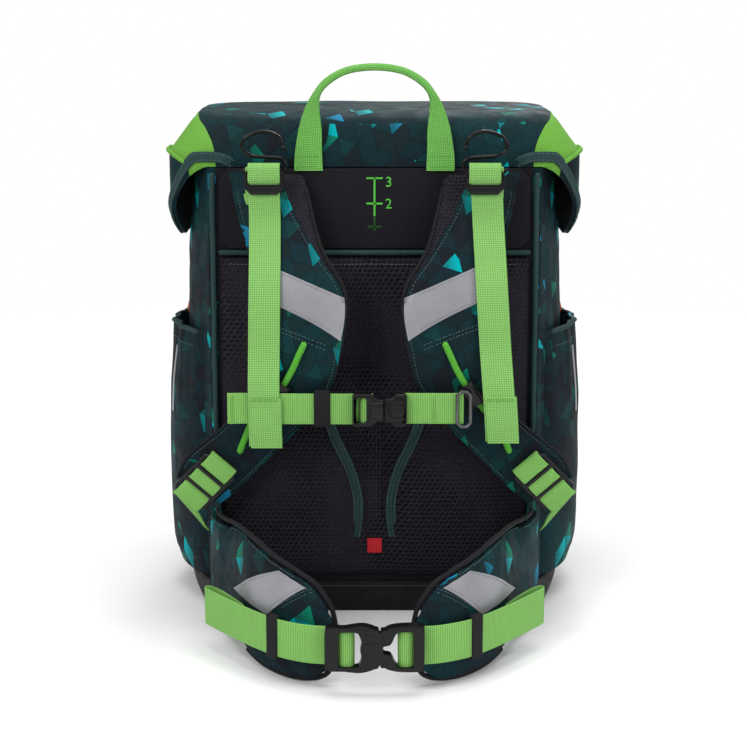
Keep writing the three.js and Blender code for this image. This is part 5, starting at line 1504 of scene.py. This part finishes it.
LOOP_THICK = 1.2
LOOP_ROOM = 2 * (WIRE_RADIUS + GAP)
LIFTER_X = 0.64 * BACK_HALF
LOOP_LOW = BODY_HEIGHT - 27
WIRE_Y = strap_front(LOOP_LOW) - 3 * GAP - LOOP_THICK - LOOP_ROOM / 2
LIFTER_TOP_Y = WIRE_Y - LOOP_ROOM / 2 - LOOP_THICK - GAP - WEBBING_THICK / 2
SLIDER_HEIGHT, SLIDER_REACH = CHEST_HEIGHT + 11, 9
CHEST_Y = strap_front(SLIDER_HEIGHT) - SLIDER_REACH - 5.5 * GAP - WEBBING_THICK / 2
CHEST_BUCKLE, CHEST_BUCKLE_HEIGHT, CHEST_BUCKLE_THICK = 43, 27, 7


def both_sides(*points):
    """A symmetric outline from its right half, given from the bottom up."""
    return [(-x, y) for x, y in points[::-1]] + list(points)


def make_hanging(side, sign):
    # Short loop round the wire hook's bar.
    reach = LOOP_ROOM / 2 + LOOP_THICK / 2
    x = sign * (LIFTER_X + 3)
    route = [P(x, WIRE_Y + reach, LOOP_LOW), P(x, WIRE_Y + reach, BODY_HEIGHT - 8)]
    for angle in range(0, 181, 20):
        turn = math.radians(angle)
        route.append(P(x, WIRE_Y + reach * math.cos(turn), BODY_HEIGHT + reach * math.sin(turn)))
    route += [P(x, WIRE_Y - reach, BODY_HEIGHT - 8), P(x, WIRE_Y - reach, LOOP_LOW + 6)]
    rows = path_rows(along(route, 1.4), 24, LOOP_THICK, across=RIGHT)
    attach(strap("short_loop_" + side, rows, GREEN_WEB), "webbing", "top_loop_" + side)
    # Wire hook with a ball at its tip.
    bar = WEBBING / 2 + 2
    bends = (
        (-1.1, 0.62), (-0.9, 0.9), (-0.1, 1.06), (0.85, 0.92), (1.15, 0.64), (0.7, 0.42),
        (-0.1, 0.37), (-0.95, 0.33), (-1.22, 0.15), (-1.0, 0.0), (0.0, 0.0), (1.05, 0.0),
    )
    route = [P(sign * (LIFTER_X + 1 + a * bar), WIRE_Y, BODY_HEIGHT + u * 2 * bar) for a, u in bends]
    hook = cord("wire_loop_" + side, along(catmull(route, 260), 1.3), WIRE_RADIUS, WIRE, 14)

    def add_balls(bm):
        for place in (route[0], route[-1]):
            made = bmesh.ops.create_uvsphere(bm, u_segments=18, v_segments=12, radius=0.0021)
            bmesh.ops.translate(bm, verts=made["verts"], vec=Vector(place * MM))

    rework(hook.data, add_balls)
    shade(hook, 60)
    attach(hook, "wire", "wire_hook_" + side)
    level = BODY_HEIGHT - 0.35 * 25
    outer = both_sides((10.5, -9.5), (15.5, -4.5), (15.5, 7.5), (10.5, 12.5))
    inner = both_sides((11, -1.6), (13.2, 0.4), (13.2, 6.8), (10.5, 9.6))
    rear = LIFTER_TOP_Y - WEBBING_THICK / 2 - GAP
    place = P(sign * LIFTER_X, rear, level)
    obj = moulding("ladder_top_" + side, [outer, inner], 3, place, PLASTIC, 0.0008)
    attach(obj, "plastic", "top_buckle_" + side)
    bar = [(-12.2, 2.4), (12.2, 2.4), (13.4, 0), (11.4, -2.6), (-11.4, -2.6), (-13.4, 0)]
    place = P(sign * LIFTER_X, rear - 2.6, level - 5.6)
    attach(moulding("ladder_bar_" + side, [bar], 1.6, place, PLASTIC, 0.0006), "plastic")
    roll = (0.7, 14.6), (-1.6, 14.8), (-3.9, 12.6), (-4.3, 9), (-3.6, 4), (-1.2, -0.6), (0.4, -3)
    roll = [(rear + y, level + z) for y, z in roll]
    places = [P(sign * LIFTER_X, y, z) for y, z in along(catmull(roll, 60), 1.2)]
    attach(strap("strap_roll_" + side, path_rows(places, 25.2, 1.3, across=RIGHT), GREEN_WEB), "webbing")
    # Lifter strap with a doubled, sewn end.
    lie = 0.8 + 5.5 * GAP + WEBBING_THICK / 2
    top = BODY_HEIGHT * 1.01
    chest = CHEST_Y - WEBBING_THICK - 2 * GAP
    route = [(LIFTER_TOP_Y, top), (LIFTER_TOP_Y, BODY_HEIGHT * 0.935)]
    for share in (0.9, 0.831, 0.765, 0.7, 0.629):
        z = share * BODY_HEIGHT
        route.append((min(LIFTER_TOP_Y, strap_front(z) - lie), z))
    below = CHEST_HEIGHT - WEBBING / 2
    tip = 18 if sign < 0 else 14
    route += [(chest, CHEST_HEIGHT + WEBBING / 2 + 4), (chest, below), (chest + 2, below - tip)]
    lean = 0.062 if sign > 0 else 0.0
    line = along(catmull(route, 120), 2.4)
    places = []
    for y, z in line:
        drift = 0.5 * math.sin((top - z) / 31 + sign)
        places.append(P(sign * LIFTER_X + lean * (top - z) + drift, y, z))
    obj = strap("hanging_strap_" + side, path_rows(places, WEBBING, WEBBING_THICK, across=RIGHT), GREEN_WEB)
    attach(obj, "webbing", "lifter_strap_" + side)
    fold = [p + P(1.5, -1.4, -1.2) for p in places if p[2] < CHEST_HEIGHT + 12]
    obj = strap("strap_fold_" + side, path_rows(fold, WEBBING, 1.3, across=RIGHT), GREEN_WEB)
    attach(obj, "webbing")
    x, y = fold[0][:2]
    z = CHEST_HEIGHT + 8.5
    rows = [([P(x - 11, y, z - off), P(x + 11, y, z - off)], OUT) for off in (0, 1.5)]
    stitches("strap_hem_stitches_" + side, rows, THREAD_GREEN, "webbing", tree_of(obj), 2.4)
    x = places[0][0]
    tail = [P(x - 13.6 + 0.12 * (357 - zz), LIFTER_TOP_Y + 1.7, zz) for zz in (357, 354, 351, 348.5)]
    if sign < 0:
        rows = path_rows(tail, (5, 5, 4, 2), 1.2, across=RIGHT)
        attach(strap("strap_tail_" + side, rows, GREEN_WEB), "webbing")


# ---------------------------------------------------------------- chest strap
def make_chest():
    half = CHEST_BUCKLE / 2
    middle = 0.03 * BACK_HALF
    left_end, right_end = -0.857 * BACK_HALF, 0.52 * BACK_HALF
    spans = (("left", left_end, middle - half * 0.45), ("right", middle + half * 0.75, right_end))
    for side, start, end in spans:
        places = []
        line = [P(start, CHEST_Y, CHEST_HEIGHT), P(end, CHEST_Y, CHEST_HEIGHT)]
        if side == "left":
            line[1:] = [p + P(middle, 0, 0) for p in bar_loop(6.4, CHEST_Y, CHEST_HEIGHT, -1, 0.76)[::-1]]
        for x in along(catmull(line, 120), 1.2):
            places.append(x + P(0, 0.35 * math.sin(x[0] / 9), 0.3 * math.sin(x[0] / 23)))
        obj = strap("chest_strap_" + side, path_rows(places, WEBBING, WEBBING_THICK, across=UP), GREEN_RIB)
        attach(obj, "webbing", "chest_webbing_" + side)
        tree = tree_of(obj)
        seam = start + 3 if side == "left" else mix(start, end, 0.52)
        rows = [([P(x, CHEST_Y, CHEST_HEIGHT + z) for z in (-11, 11)], OUT) for x in (seam, seam + 1.6)]
        stitches("chest_stitches_" + side, rows, THREAD_GREEN, "webbing", tree, 2.2)
    place = P(-0.353 * BACK_HALF + 6.5, CHEST_Y, CHEST_HEIGHT)
    keeper("chest_sleeve", "chest_keeper", WEBBING, 13, place, 0)
    refine("chest_buckle_socket", "chest_socket", PLASTIC, "plastic", 0.0007)
    refine("chest_buckle_plug", "chest_plug", PLASTIC, "plastic", 0.0007)
    refine("chest_ring", "strap_ring", RING, "wire", 0.0006)
    buckle_details(middle, CHEST_Y - WEBBING_THICK / 2 - GAP, CHEST_HEIGHT)
    for side, _ in SIDES:
        refine("chest_slider_" + side, "rail_slider_" + side, PLASTIC, "plastic", 0.0005)


def keeper(name, node, width, length, place, turn):
    """Elastic sleeve round a strap, with ribs along its length."""
    inner = sections(width + 3 * GAP, WEBBING_THICK + 3 * GAP, 0.8, 4)
    outer = sections(width + 5, WEBBING_THICK + 4.6, 1.9, 4)
    along_x = P(math.cos(turn), math.sin(turn), 0)
    front = P(math.sin(turn), -math.cos(turn), 0)
    rings, uvs = [], []
    swells = (-1, 0.55), (-0.86, 1.0), (-0.5, 0.97), (0, 0.95), (0.5, 0.97), (0.86, 1.0), (1, 0.55)
    levels = [(at, outer, swell) for at, swell in swells] + [(at, inner, 1.0) for at in (1, 0, -1)]
    for at, section, swell in levels:
        for u, v in section:
            middle = place + along_x * (at * length / 2)
            rings.append(middle + UP * u * mix(1.0, swell, 0.12) + front * v * swell)
            uvs.append((u, at * length / 2))
    count = len(inner)
    faces = []
    for r in range(len(levels)):
        here, there = r * count, (r + 1) % len(levels) * count
        for k in range(count):
            after = (k + 1) % count
            faces.append((here + k, here + after, there + after, there + k))
    obj = build(name, rings, faces, KEEPER, 60, np.array(uvs))
    attach(obj, "mesh", node)


def buckle_details(x, y, z):
    """Raised ribs, the release arms and their seams on the chest buckle."""
    points, faces = [], []
    width, height = CHEST_BUCKLE, CHEST_BUCKLE_HEIGHT
    front = y - CHEST_BUCKLE_THICK

    def block(cx, cz, w, h, low, high, cut=0.8):
        start = len(points)
        for yy, shrink in ((low, 0), (high + 0.4, 0), (high, cut)):
            for sx, sz in ((-1, -1), (1, -1), (1, 1), (-1, 1)):
                points.append(P(cx + sx * (w / 2 - shrink), yy, cz + sz * (h / 2 - shrink)))
        for row in (start, start + 4):
            faces.extend((row + k, row + (k + 1) % 4, row + 4 + (k + 1) % 4, row + 4 + k) for k in range(4))
        faces.append([start + k for k in (3, 2, 1, 0)])
        faces.append([start + 8 + k for k in range(4)])

    w, h = width / 2, height / 2
    block(x + 0.68 * w, z, 0.28 * width, height * 0.76, y - 0.4, front + 0.5)
    for k in (-1, 0, 1):
        rib = z + k * 0.24 * height
        block(x + 0.68 * w, rib, 0.24 * width, 0.09 * height, front + 1.2, front - 0.4, 0.4)
    block(x - 0.1 * w, z, 0.22 * width, 0.5 * height, front + 0.8, front - 0.55)
    for k in (-1, 1):
        block(x - 0.1 * w, z + k * 0.42 * h, 0.2 * width, 0.07 * height, front + 0.8, front - 1.0, 0.4)
        block(x + 0.36 * w, z + k * 0.62 * h, 0.16 * width, 0.1 * height, front + 0.8, front - 0.7, 0.5)
    obj = build("chest_buckle_ribs", points, faces, PLASTIC, 30)
    bevel = obj.modifiers.new("bevel", "BEVEL")
    bevel.width, bevel.segments = 0.0003, 2
    bake(obj)
    shade(obj, 40)
    attach(obj, "plastic")


# ---------------------------------------------------------------- lower buckles
def make_lower(side, sign, surface):
    refine("lower_buckle_" + side, "ladder_low_" + side, PLASTIC, "plastic", 0.00045)
    length, bar = 46, 3.2  # of the ladder buckle and of its bars
    start = surface.at(0.45, 7.9, FACE_TOP + GAP)
    end = surface.at(0.45, 10, FACE_TOP + GAP)
    travel = unit(end - start)
    side_row = surface.b[9 * surface.fine] - surface.a[9 * surface.fine]
    outward = unit(np.cross(side_row, travel))
    if np.dot(outward, OUT) < 0:
        outward = -outward
    across = unit(np.cross(outward, travel))
    origin = end - travel * length * 0.28
    window = (length - 4 * bar) / 3
    under = WEBBING_THICK + 2 * GAP
    low, high = GAP + WEBBING_THICK / 2, under + 3.8
    spots = [(-length / 2 + 3, low - 0.2), (-length / 2 - 1.2, low + 0.6), (-length / 2 - 1.6, high - 1.4)]
    for k in (-1, 0, 1):
        z = k * (window + bar) * 1.06
        near, far = z - window / 2 - (2.6 if k < 0 else -0.4), z + window / 2 + (2.6 if k > 0 else -0.4)
        spots += [(near + 1.2, high), (z, high + 0.7), (far - 1.2, high)]
        if k < 1:
            spots += [(far + 0.5, low + 0.4), (far + 2.2, low + 0.2)]
    spots += [(length / 2 + 1.8, high - 1.4), (length / 2 + 1.6, low + 0.6), (length / 2 + 3, low - 0.4)]
    places = [origin + travel * s + outward * h for s, h in catmull(spots, 190)]
    widths = [WEBBING + 0.6] * len(places)
    corner = P(sign * 1.03 * BACK_HALF, BACK_Y - 9, 0.2 * BODY_HEIGHT)
    last = places[-1]
    for t in np.linspace(0.05, 1, 22):
        places.append(mix(last, corner, t))
        widths.append(WEBBING * mix(0.96, 0.25, smooth(0, 1, t)))
    rows = []
    for i, middle in enumerate(places):
        rows.append((middle, across, unit(np.cross(step_at(places, i), across)), widths[i], WEBBING_THICK))
    attach(strap("lower_strap_" + side, rows, GREEN_RIB), "webbing", "lower_webbing_" + side)


# ---------------------------------------------------------------- hip belt
def fin_surface(sign):
    a, b = [], []
    for out, reach, low, high in FIN_ROWS:
        x, y = sign * out * BACK_HALF, BACK_Y - reach * FIN_REACH
        a.append(P(x, y, low * FIN_HEIGHT))
        b.append(P(x, y, high * FIN_HEIGHT))
    surface = Surface(a, b, FINE_ROWS, P(sign, 0, 0))
    for i in range(surface.rows()):
        i0, i1 = max(0, i - 4), min(surface.rows() - 1, i + 4)
        step = surface.a[i1] - surface.a[i0]
        step[2] = 0
        surface.n[i] = np.cross(unit(step), UP) * -sign
    return surface


def bar_loop(bar, level, height, sign, size=1.0):
    """Start of a strap that turns round a bar in a buckle's window."""
    loop = (0, 0.8), (-0.6, -3.2), (1.2, -5.8), (5.2, -6.6), (9, -5.6), (11.2, -2.6), (13.5, 0.2), (20, 0.2)
    return [P(sign * (bar + x * size), level + y * size, height) for x, y in loop]


def make_fin(side, sign):
    surface = fin_surface(sign)
    rings = slab(surface, FIN_THICK - 1.0, -FIN_THICK + 0.5, 0.012, 5.0, 1.6)
    fin = loft("hip_padding_" + side, rings, PRINT)
    puff(fin, 0.0044, PAD_PRESSURE, 0.0024, PAD_FRAMES)
    # Soft dimples.
    move_points(fin, lambda p: unit(P(p[0], 0.001, 0)) * 0.35 * wobble(p, 15, 9.1))
    if min(v.co.z for v in fin.data.vertices) < 0.0004:
        move_points(fin, lambda p: P(0, 0, max(0, 0.5 - p[2])))
    fin.data.materials.append(MESH)
    line = (surface.a + surface.b) / 2
    for face in fin.data.polygons:
        c = np.array(face.center) * IN_MM
        i = int(np.argmin(np.linalg.norm(line[:, :2] - c[:2], axis=1)))
        if float(np.dot(np.array(face.normal), surface.n[i])) < -0.25:
            face.material_index = 1
    shade(fin, 80)
    attach(fin, "print", "hip_fin_" + side)
    tree = tree_of(fin)
    # Bound edge that runs over the top, round the tip and back below.
    count = surface.rows()
    back = [surface.n[i] * -FIN_THICK / 2 for i in range(count)]
    rim = [surface.b[i] + back[i] - UP * 0.6 for i in range(6, count)]
    rim += [mix(surface.b[-1], surface.a[-1], t) + back[-1] for t in (0.35, 0.65)]
    rim += [surface.a[i] + back[i] + UP * 2.2 for i in range(count - 2, 30, -1)]
    rim = catmull(rim[::4] + [rim[-1]], 220)
    attach(cord("fin_binding_" + side, rim, 2.0, KEEPER, 10), "mesh")
    lines = []
    upper = [surface.at(0.945, v) for v in np.linspace(0.6, 7.4, 60)]
    lines += runs(upper, lambda k: surface.normal(0.6 + 6.8 * k / 59), 6, 5, 55)
    for off in (0.0, 0.16):
        line = [surface.at(mix(0.95, 0.55, t), mix(7.72, 6.0, t) + off) for t in np.linspace(0, 1, 20)]
        lines += runs(line, surface.normal(6.8), 5, 4, 16)
    stitches("fin_stitches_" + side, lines, THREAD, "print", tree, 2.9)
    strip = ((0.925, 6.3), (0.915, 7.45), (0.5, 5.8), (0.5, 3.5))
    front = surface.normal(5.5)
    top = patch_grid(surface, strip, 30, 1.3, 0.15, 4.0 + sign)
    top = [[snap(tree, p, front)[0] + front * 0.75 for p in row] for row in top]
    low = [[p - front * 0.7 for p in row] for row in top]
    film = sheet_block("fin_film_" + side, top, low, FILM, 50)
    attach(film, "reflective", "fin_reflector_" + side)
    lines = []
    for t in (0.08, 0.92):
        row = [surface.at(*spot(strip, s, t), 1) for s in np.linspace(0.03, 0.97, 20)]
        lines += runs(row, front, 5, 4, 16)
    stitches("fin_film_stitches_" + side, lines, THREAD_GREY, "reflective", tree_of(film), 2.8)
    # Hip webbing with its keeper.
    route = []
    for out, reach in HIP_ROUTE:
        route.append(P(sign * out * BACK_HALF, BACK_Y - reach * FIN_REACH, HIP_HEIGHT))
    keeper_turn = route[4] - route[3]
    keeper_place = mix(route[3], route[4], 0.3)
    bar = 16.2 if sign < 0 else 18.6
    route = bar_loop(bar, route[0][1], HIP_HEIGHT, sign) + route[2:]
    route[-1][2] -= 3.0
    p = surface.at(0.4, 4.3, WEBBING_THICK / 2 + 1.5 * GAP)
    route.append(P(p[0], p[1], HIP_HEIGHT - 7.5))
    places = along(catmull(route, 260), 1.6)
    obj = strap("hip_strap_" + side, path_rows(places, HIP_WEBBING, WEBBING_THICK, across=UP), GREEN_RIB)
    attach(obj, "webbing", "hip_webbing_" + side)
    turn = math.atan2(keeper_turn[1], keeper_turn[0])
    keeper("hip_sleeve_" + side, "hip_keeper_" + side, HIP_WEBBING, 11, keeper_place, turn)


def make_hip_buckle():
    back = BACK_Y - FIN_REACH - 8 - WEBBING_THICK / 2 - GAP
    socket = [
        (-37, 0), (-37, 13), (-35.6, 16.6), (-31, 17.4), (-24, 16.4), (-17, 17.4), (-9, 18.3), (-3.5, 17.2),
        (0.5, 15.6), (3.2, 13.8), (3.7, 4), (3.7, -4), (3.2, -13.4), (-0.5, -15.4), (-6, -17.4),
        (-13, -18.2), (-22, -17.2), (-31, -17), (-35.8, -15.6), (-37, -12),
    ]
    window = [
        (-27, 0), (-27, 12.2), (-25, 13.2), (-14, 13.2), (-11.4, 11), (-9.6, 5), (-10.6, 0), (-9.8, -6),
        (-11, -11.6), (-14, -14), (-25, -14), (-27, -12.6),
    ]
    plug = [
        (4.0, 0), (4.4, 13.2), (7.5, 14.8), (12, 17), (20, 18.2), (30, 18.4), (35.4, 18), (37, 15), (37, 0),
        (37, -12.5), (35.6, -16.2), (30, -17.4), (18, -17.2), (11, -15.8), (7.5, -14.2), (4.4, -13),
    ]
    arrow = [
        (6.6, 0), (6.8, 2.4), (11, 3.4), (13.4, 6.4), (15.2, 11), (18.5, 13.6), (28, 13.6), (29.4, 11.5),
        (29.4, 0), (29.4, -12), (28, -14.2), (19, -14.2), (15.6, -11.4), (13.2, -6.6), (11, -4.2),
        (6.8, -3.2),
    ]
    for part, outline, hole in (("socket", socket, window), ("plug", plug, arrow)):
        place = P(0, back, HIP_HEIGHT)
        obj = moulding("hip_" + part, [rounded(outline), rounded(hole)], 9, place, PLASTIC, 0.0012)
        attach(obj, "plastic", "hip_buckle_" + part)
    # The tongue covers the joint of the two halves.
    tongue = [
        (-7.6, 0), (-7.4, 9), (-4, 12.2), (4, 12.6), (6.1, 9), (5.9, 0), (6.1, -9), (4, -12.4), (-4, -12),
        (-7.4, -9),
    ]
    place = P(0, back - 1.2, HIP_HEIGHT)
    attach(moulding("hip_tongue", [rounded(tongue)], 8.5, place, PLASTIC), "plastic")
    ridge = [(-8, 2.6), (-7, 4.6), (0, 5.4), (2.6, 4.8), (2.6, -4.8), (0, -5.4), (-7, -4.6), (-8, -2.6)]
    place = P(0, back - 9.4, HIP_HEIGHT)
    attach(moulding("hip_ridge", [rounded(ridge)], 1.0, place, PLASTIC, 0.0005), "plastic")


# ---------------------------------------------------------------- carry handle
def make_handle():
    half = [(-o, u, w, t) for o, u, w, t in HANDLE_ROWS]
    rest = [(o, u, w, t) for o, u, w, t in HANDLE_ROWS[:-1]][::-1]
    rows = catmull(half + rest, 190)
    base = BACK_Y - GAP - PLATE_THICK - GAP - 1
    places = [P(o * HANDLE_HALF, base, BODY_HEIGHT + u * HANDLE_RISE) for o, u, _, _ in rows]
    made = []
    for i, (o, u, w, t) in enumerate(rows):
        middle = places[i] + OUT * (t / 2 - 1)
        made.append((middle, unit(np.cross(step_at(places, i), OUT)), OUT, w, t))
    rings, uvs, run = [], [], 0.0
    for i, (middle, across, normal, w, t) in enumerate(made):
        if i:
            run += float(np.linalg.norm(middle - made[i - 1][0]))
        round_share = smooth(12, 7, w) if w < 12 else 0
        section = sections(w, t, min(w, t) * mix(0.42, 0.5, round_share), 5)
        crease = []
        for u, v in section:
            pinch = 0.6 * round_share * math.exp(-(u / 1.3) ** 2) if v < 0 else 0
            crease.append((u, v + pinch))
        rings.append([middle + across * u + normal * v for u, v in crease])
        uvs += [(u + 0.3 * v, run) for u, v in crease]
    obj = loft("carry_strap", rings, HANDLE_WEB, True, np.array(uvs), 60)
    attach(obj, "webbing", "carry_handle")
    tree = tree_of(obj)
    lines = []
    for sign in (-1, 1):
        x = sign * 1.02 * HANDLE_HALF
        z = BODY_HEIGHT + 9
        for a, b in (((-8, 0), (8, 0)), ((-9, -8), (9, -8))):
            lines.append(([P(x + a[0], base, z + a[1]), P(x + b[0], base, z + b[1])], OUT))
    stitches("handle_stitches", lines, THREAD_GREEN, "webbing", tree, 2.4)


# ---------------------------------------------------------------- stage
def make_stage():
    scene = bpy.context.scene
    bpy.ops.mesh.primitive_plane_add(size=40, location=(0, 0, 0))
    floor = bpy.context.object
    floor.name = "floor"
    s = Shader("pale_floor", roughness=0.85)
    s.color(s.blend(s.ramp(s.noise(3.0, 2.0), 0.3, 0.7), (0.93, 0.93, 0.93), (0.95, 0.95, 0.95)))
    floor.data.materials.append(s.mat)
    seen = s.node("ShaderNodeLightPath").outputs["Is Camera Ray"]
    glow = s.node("ShaderNodeEmission")
    s.feed(glow.inputs["Strength"], s.math("MULTIPLY_ADD", seen, 0.4, 0.6))
    fade = s.node("ShaderNodeVectorMath", operation="LENGTH")
    s.feed(fade.inputs[0], s.where)
    join = s.node("ShaderNodeMixShader")
    s.feed(join.inputs[0], s.ramp(fade.outputs["Value"], 0.55, 1.5))
    s.tree.links.new(s.bsdf.outputs[0], join.inputs[1])
    s.tree.links.new(glow.outputs[0], join.inputs[2])
    s.tree.links.new(join.outputs[0], s.tree.nodes["Material Output"].inputs["Surface"])
    world = bpy.data.worlds.new("studio")
    world.use_nodes = True
    nodes, links = world.node_tree.nodes, world.node_tree.links
    nodes["Background"].inputs[0].default_value = (1.0, 1.0, 1.0, 1)
    ray, level = nodes.new("ShaderNodeLightPath"), nodes.new("ShaderNodeMath")
    level.operation = "MULTIPLY_ADD"
    level.inputs[1].default_value, level.inputs[2].default_value = 0.45, 0.55
    links.new(ray.outputs["Is Camera Ray"], level.inputs[0])
    links.new(level.outputs[0], nodes["Background"].inputs[1])
    scene.world = world
    for name, place, size, energy in (
        ("key", (-1.3, -1.9, 1.7), 0.9, 24), ("fill", (1.7, -1.5, 1.1), 1.0, 13),
        ("top", (0.1, -0.2, 2.2), 1.5, 26), ("rim", (0.6, 1.9, 1.5), 1.2, 16),
    ):
        light = bpy.data.lights.new(name, "AREA")
        light.energy, light.size = energy, size
        obj = add_object(name, light)
        obj.location = place
        obj.rotation_euler = (Vector((0, -0.05, 0.2)) - Vector(place)).to_track_quat("-Z", "Y").to_euler()
    camera = bpy.data.cameras.new("camera")
    camera.lens, camera.sensor_width = 87.6, 36
    camera.shift_x = -1 / 747  # a pixel of the photo
    obj = add_object("camera", camera)
    obj.location = (0, -1.5672, 0.5169)
    target = Vector((0, -0.100, 0.205))
    obj.rotation_euler = (target - obj.location).to_track_quat("-Z", "Y").to_euler()
    scene.camera = obj
    scene.view_settings.view_transform = "Standard"


make_stage()
make_body()
make_boot()
lid_cover = make_lid()
make_lid_trim()
TUCKED = ("lid_cover", "elastic_corner", "corner_hem", "flap_")
for lid_part in [o for o in bpy.data.objects if o.name.startswith(TUCKED)]:
    move_points(lid_part, tuck)
make_front(lid_cover)
make_cushion()
make_pockets()
for side_name, side_sign in SIDES:
    strap_face = make_shoulder_strap(side_name, side_sign)
    make_hanging(side_name, side_sign)
    make_lower(side_name, side_sign, strap_face)
    make_fin(side_name, side_sign)
make_chest()
make_hip_buckle()
make_handle()
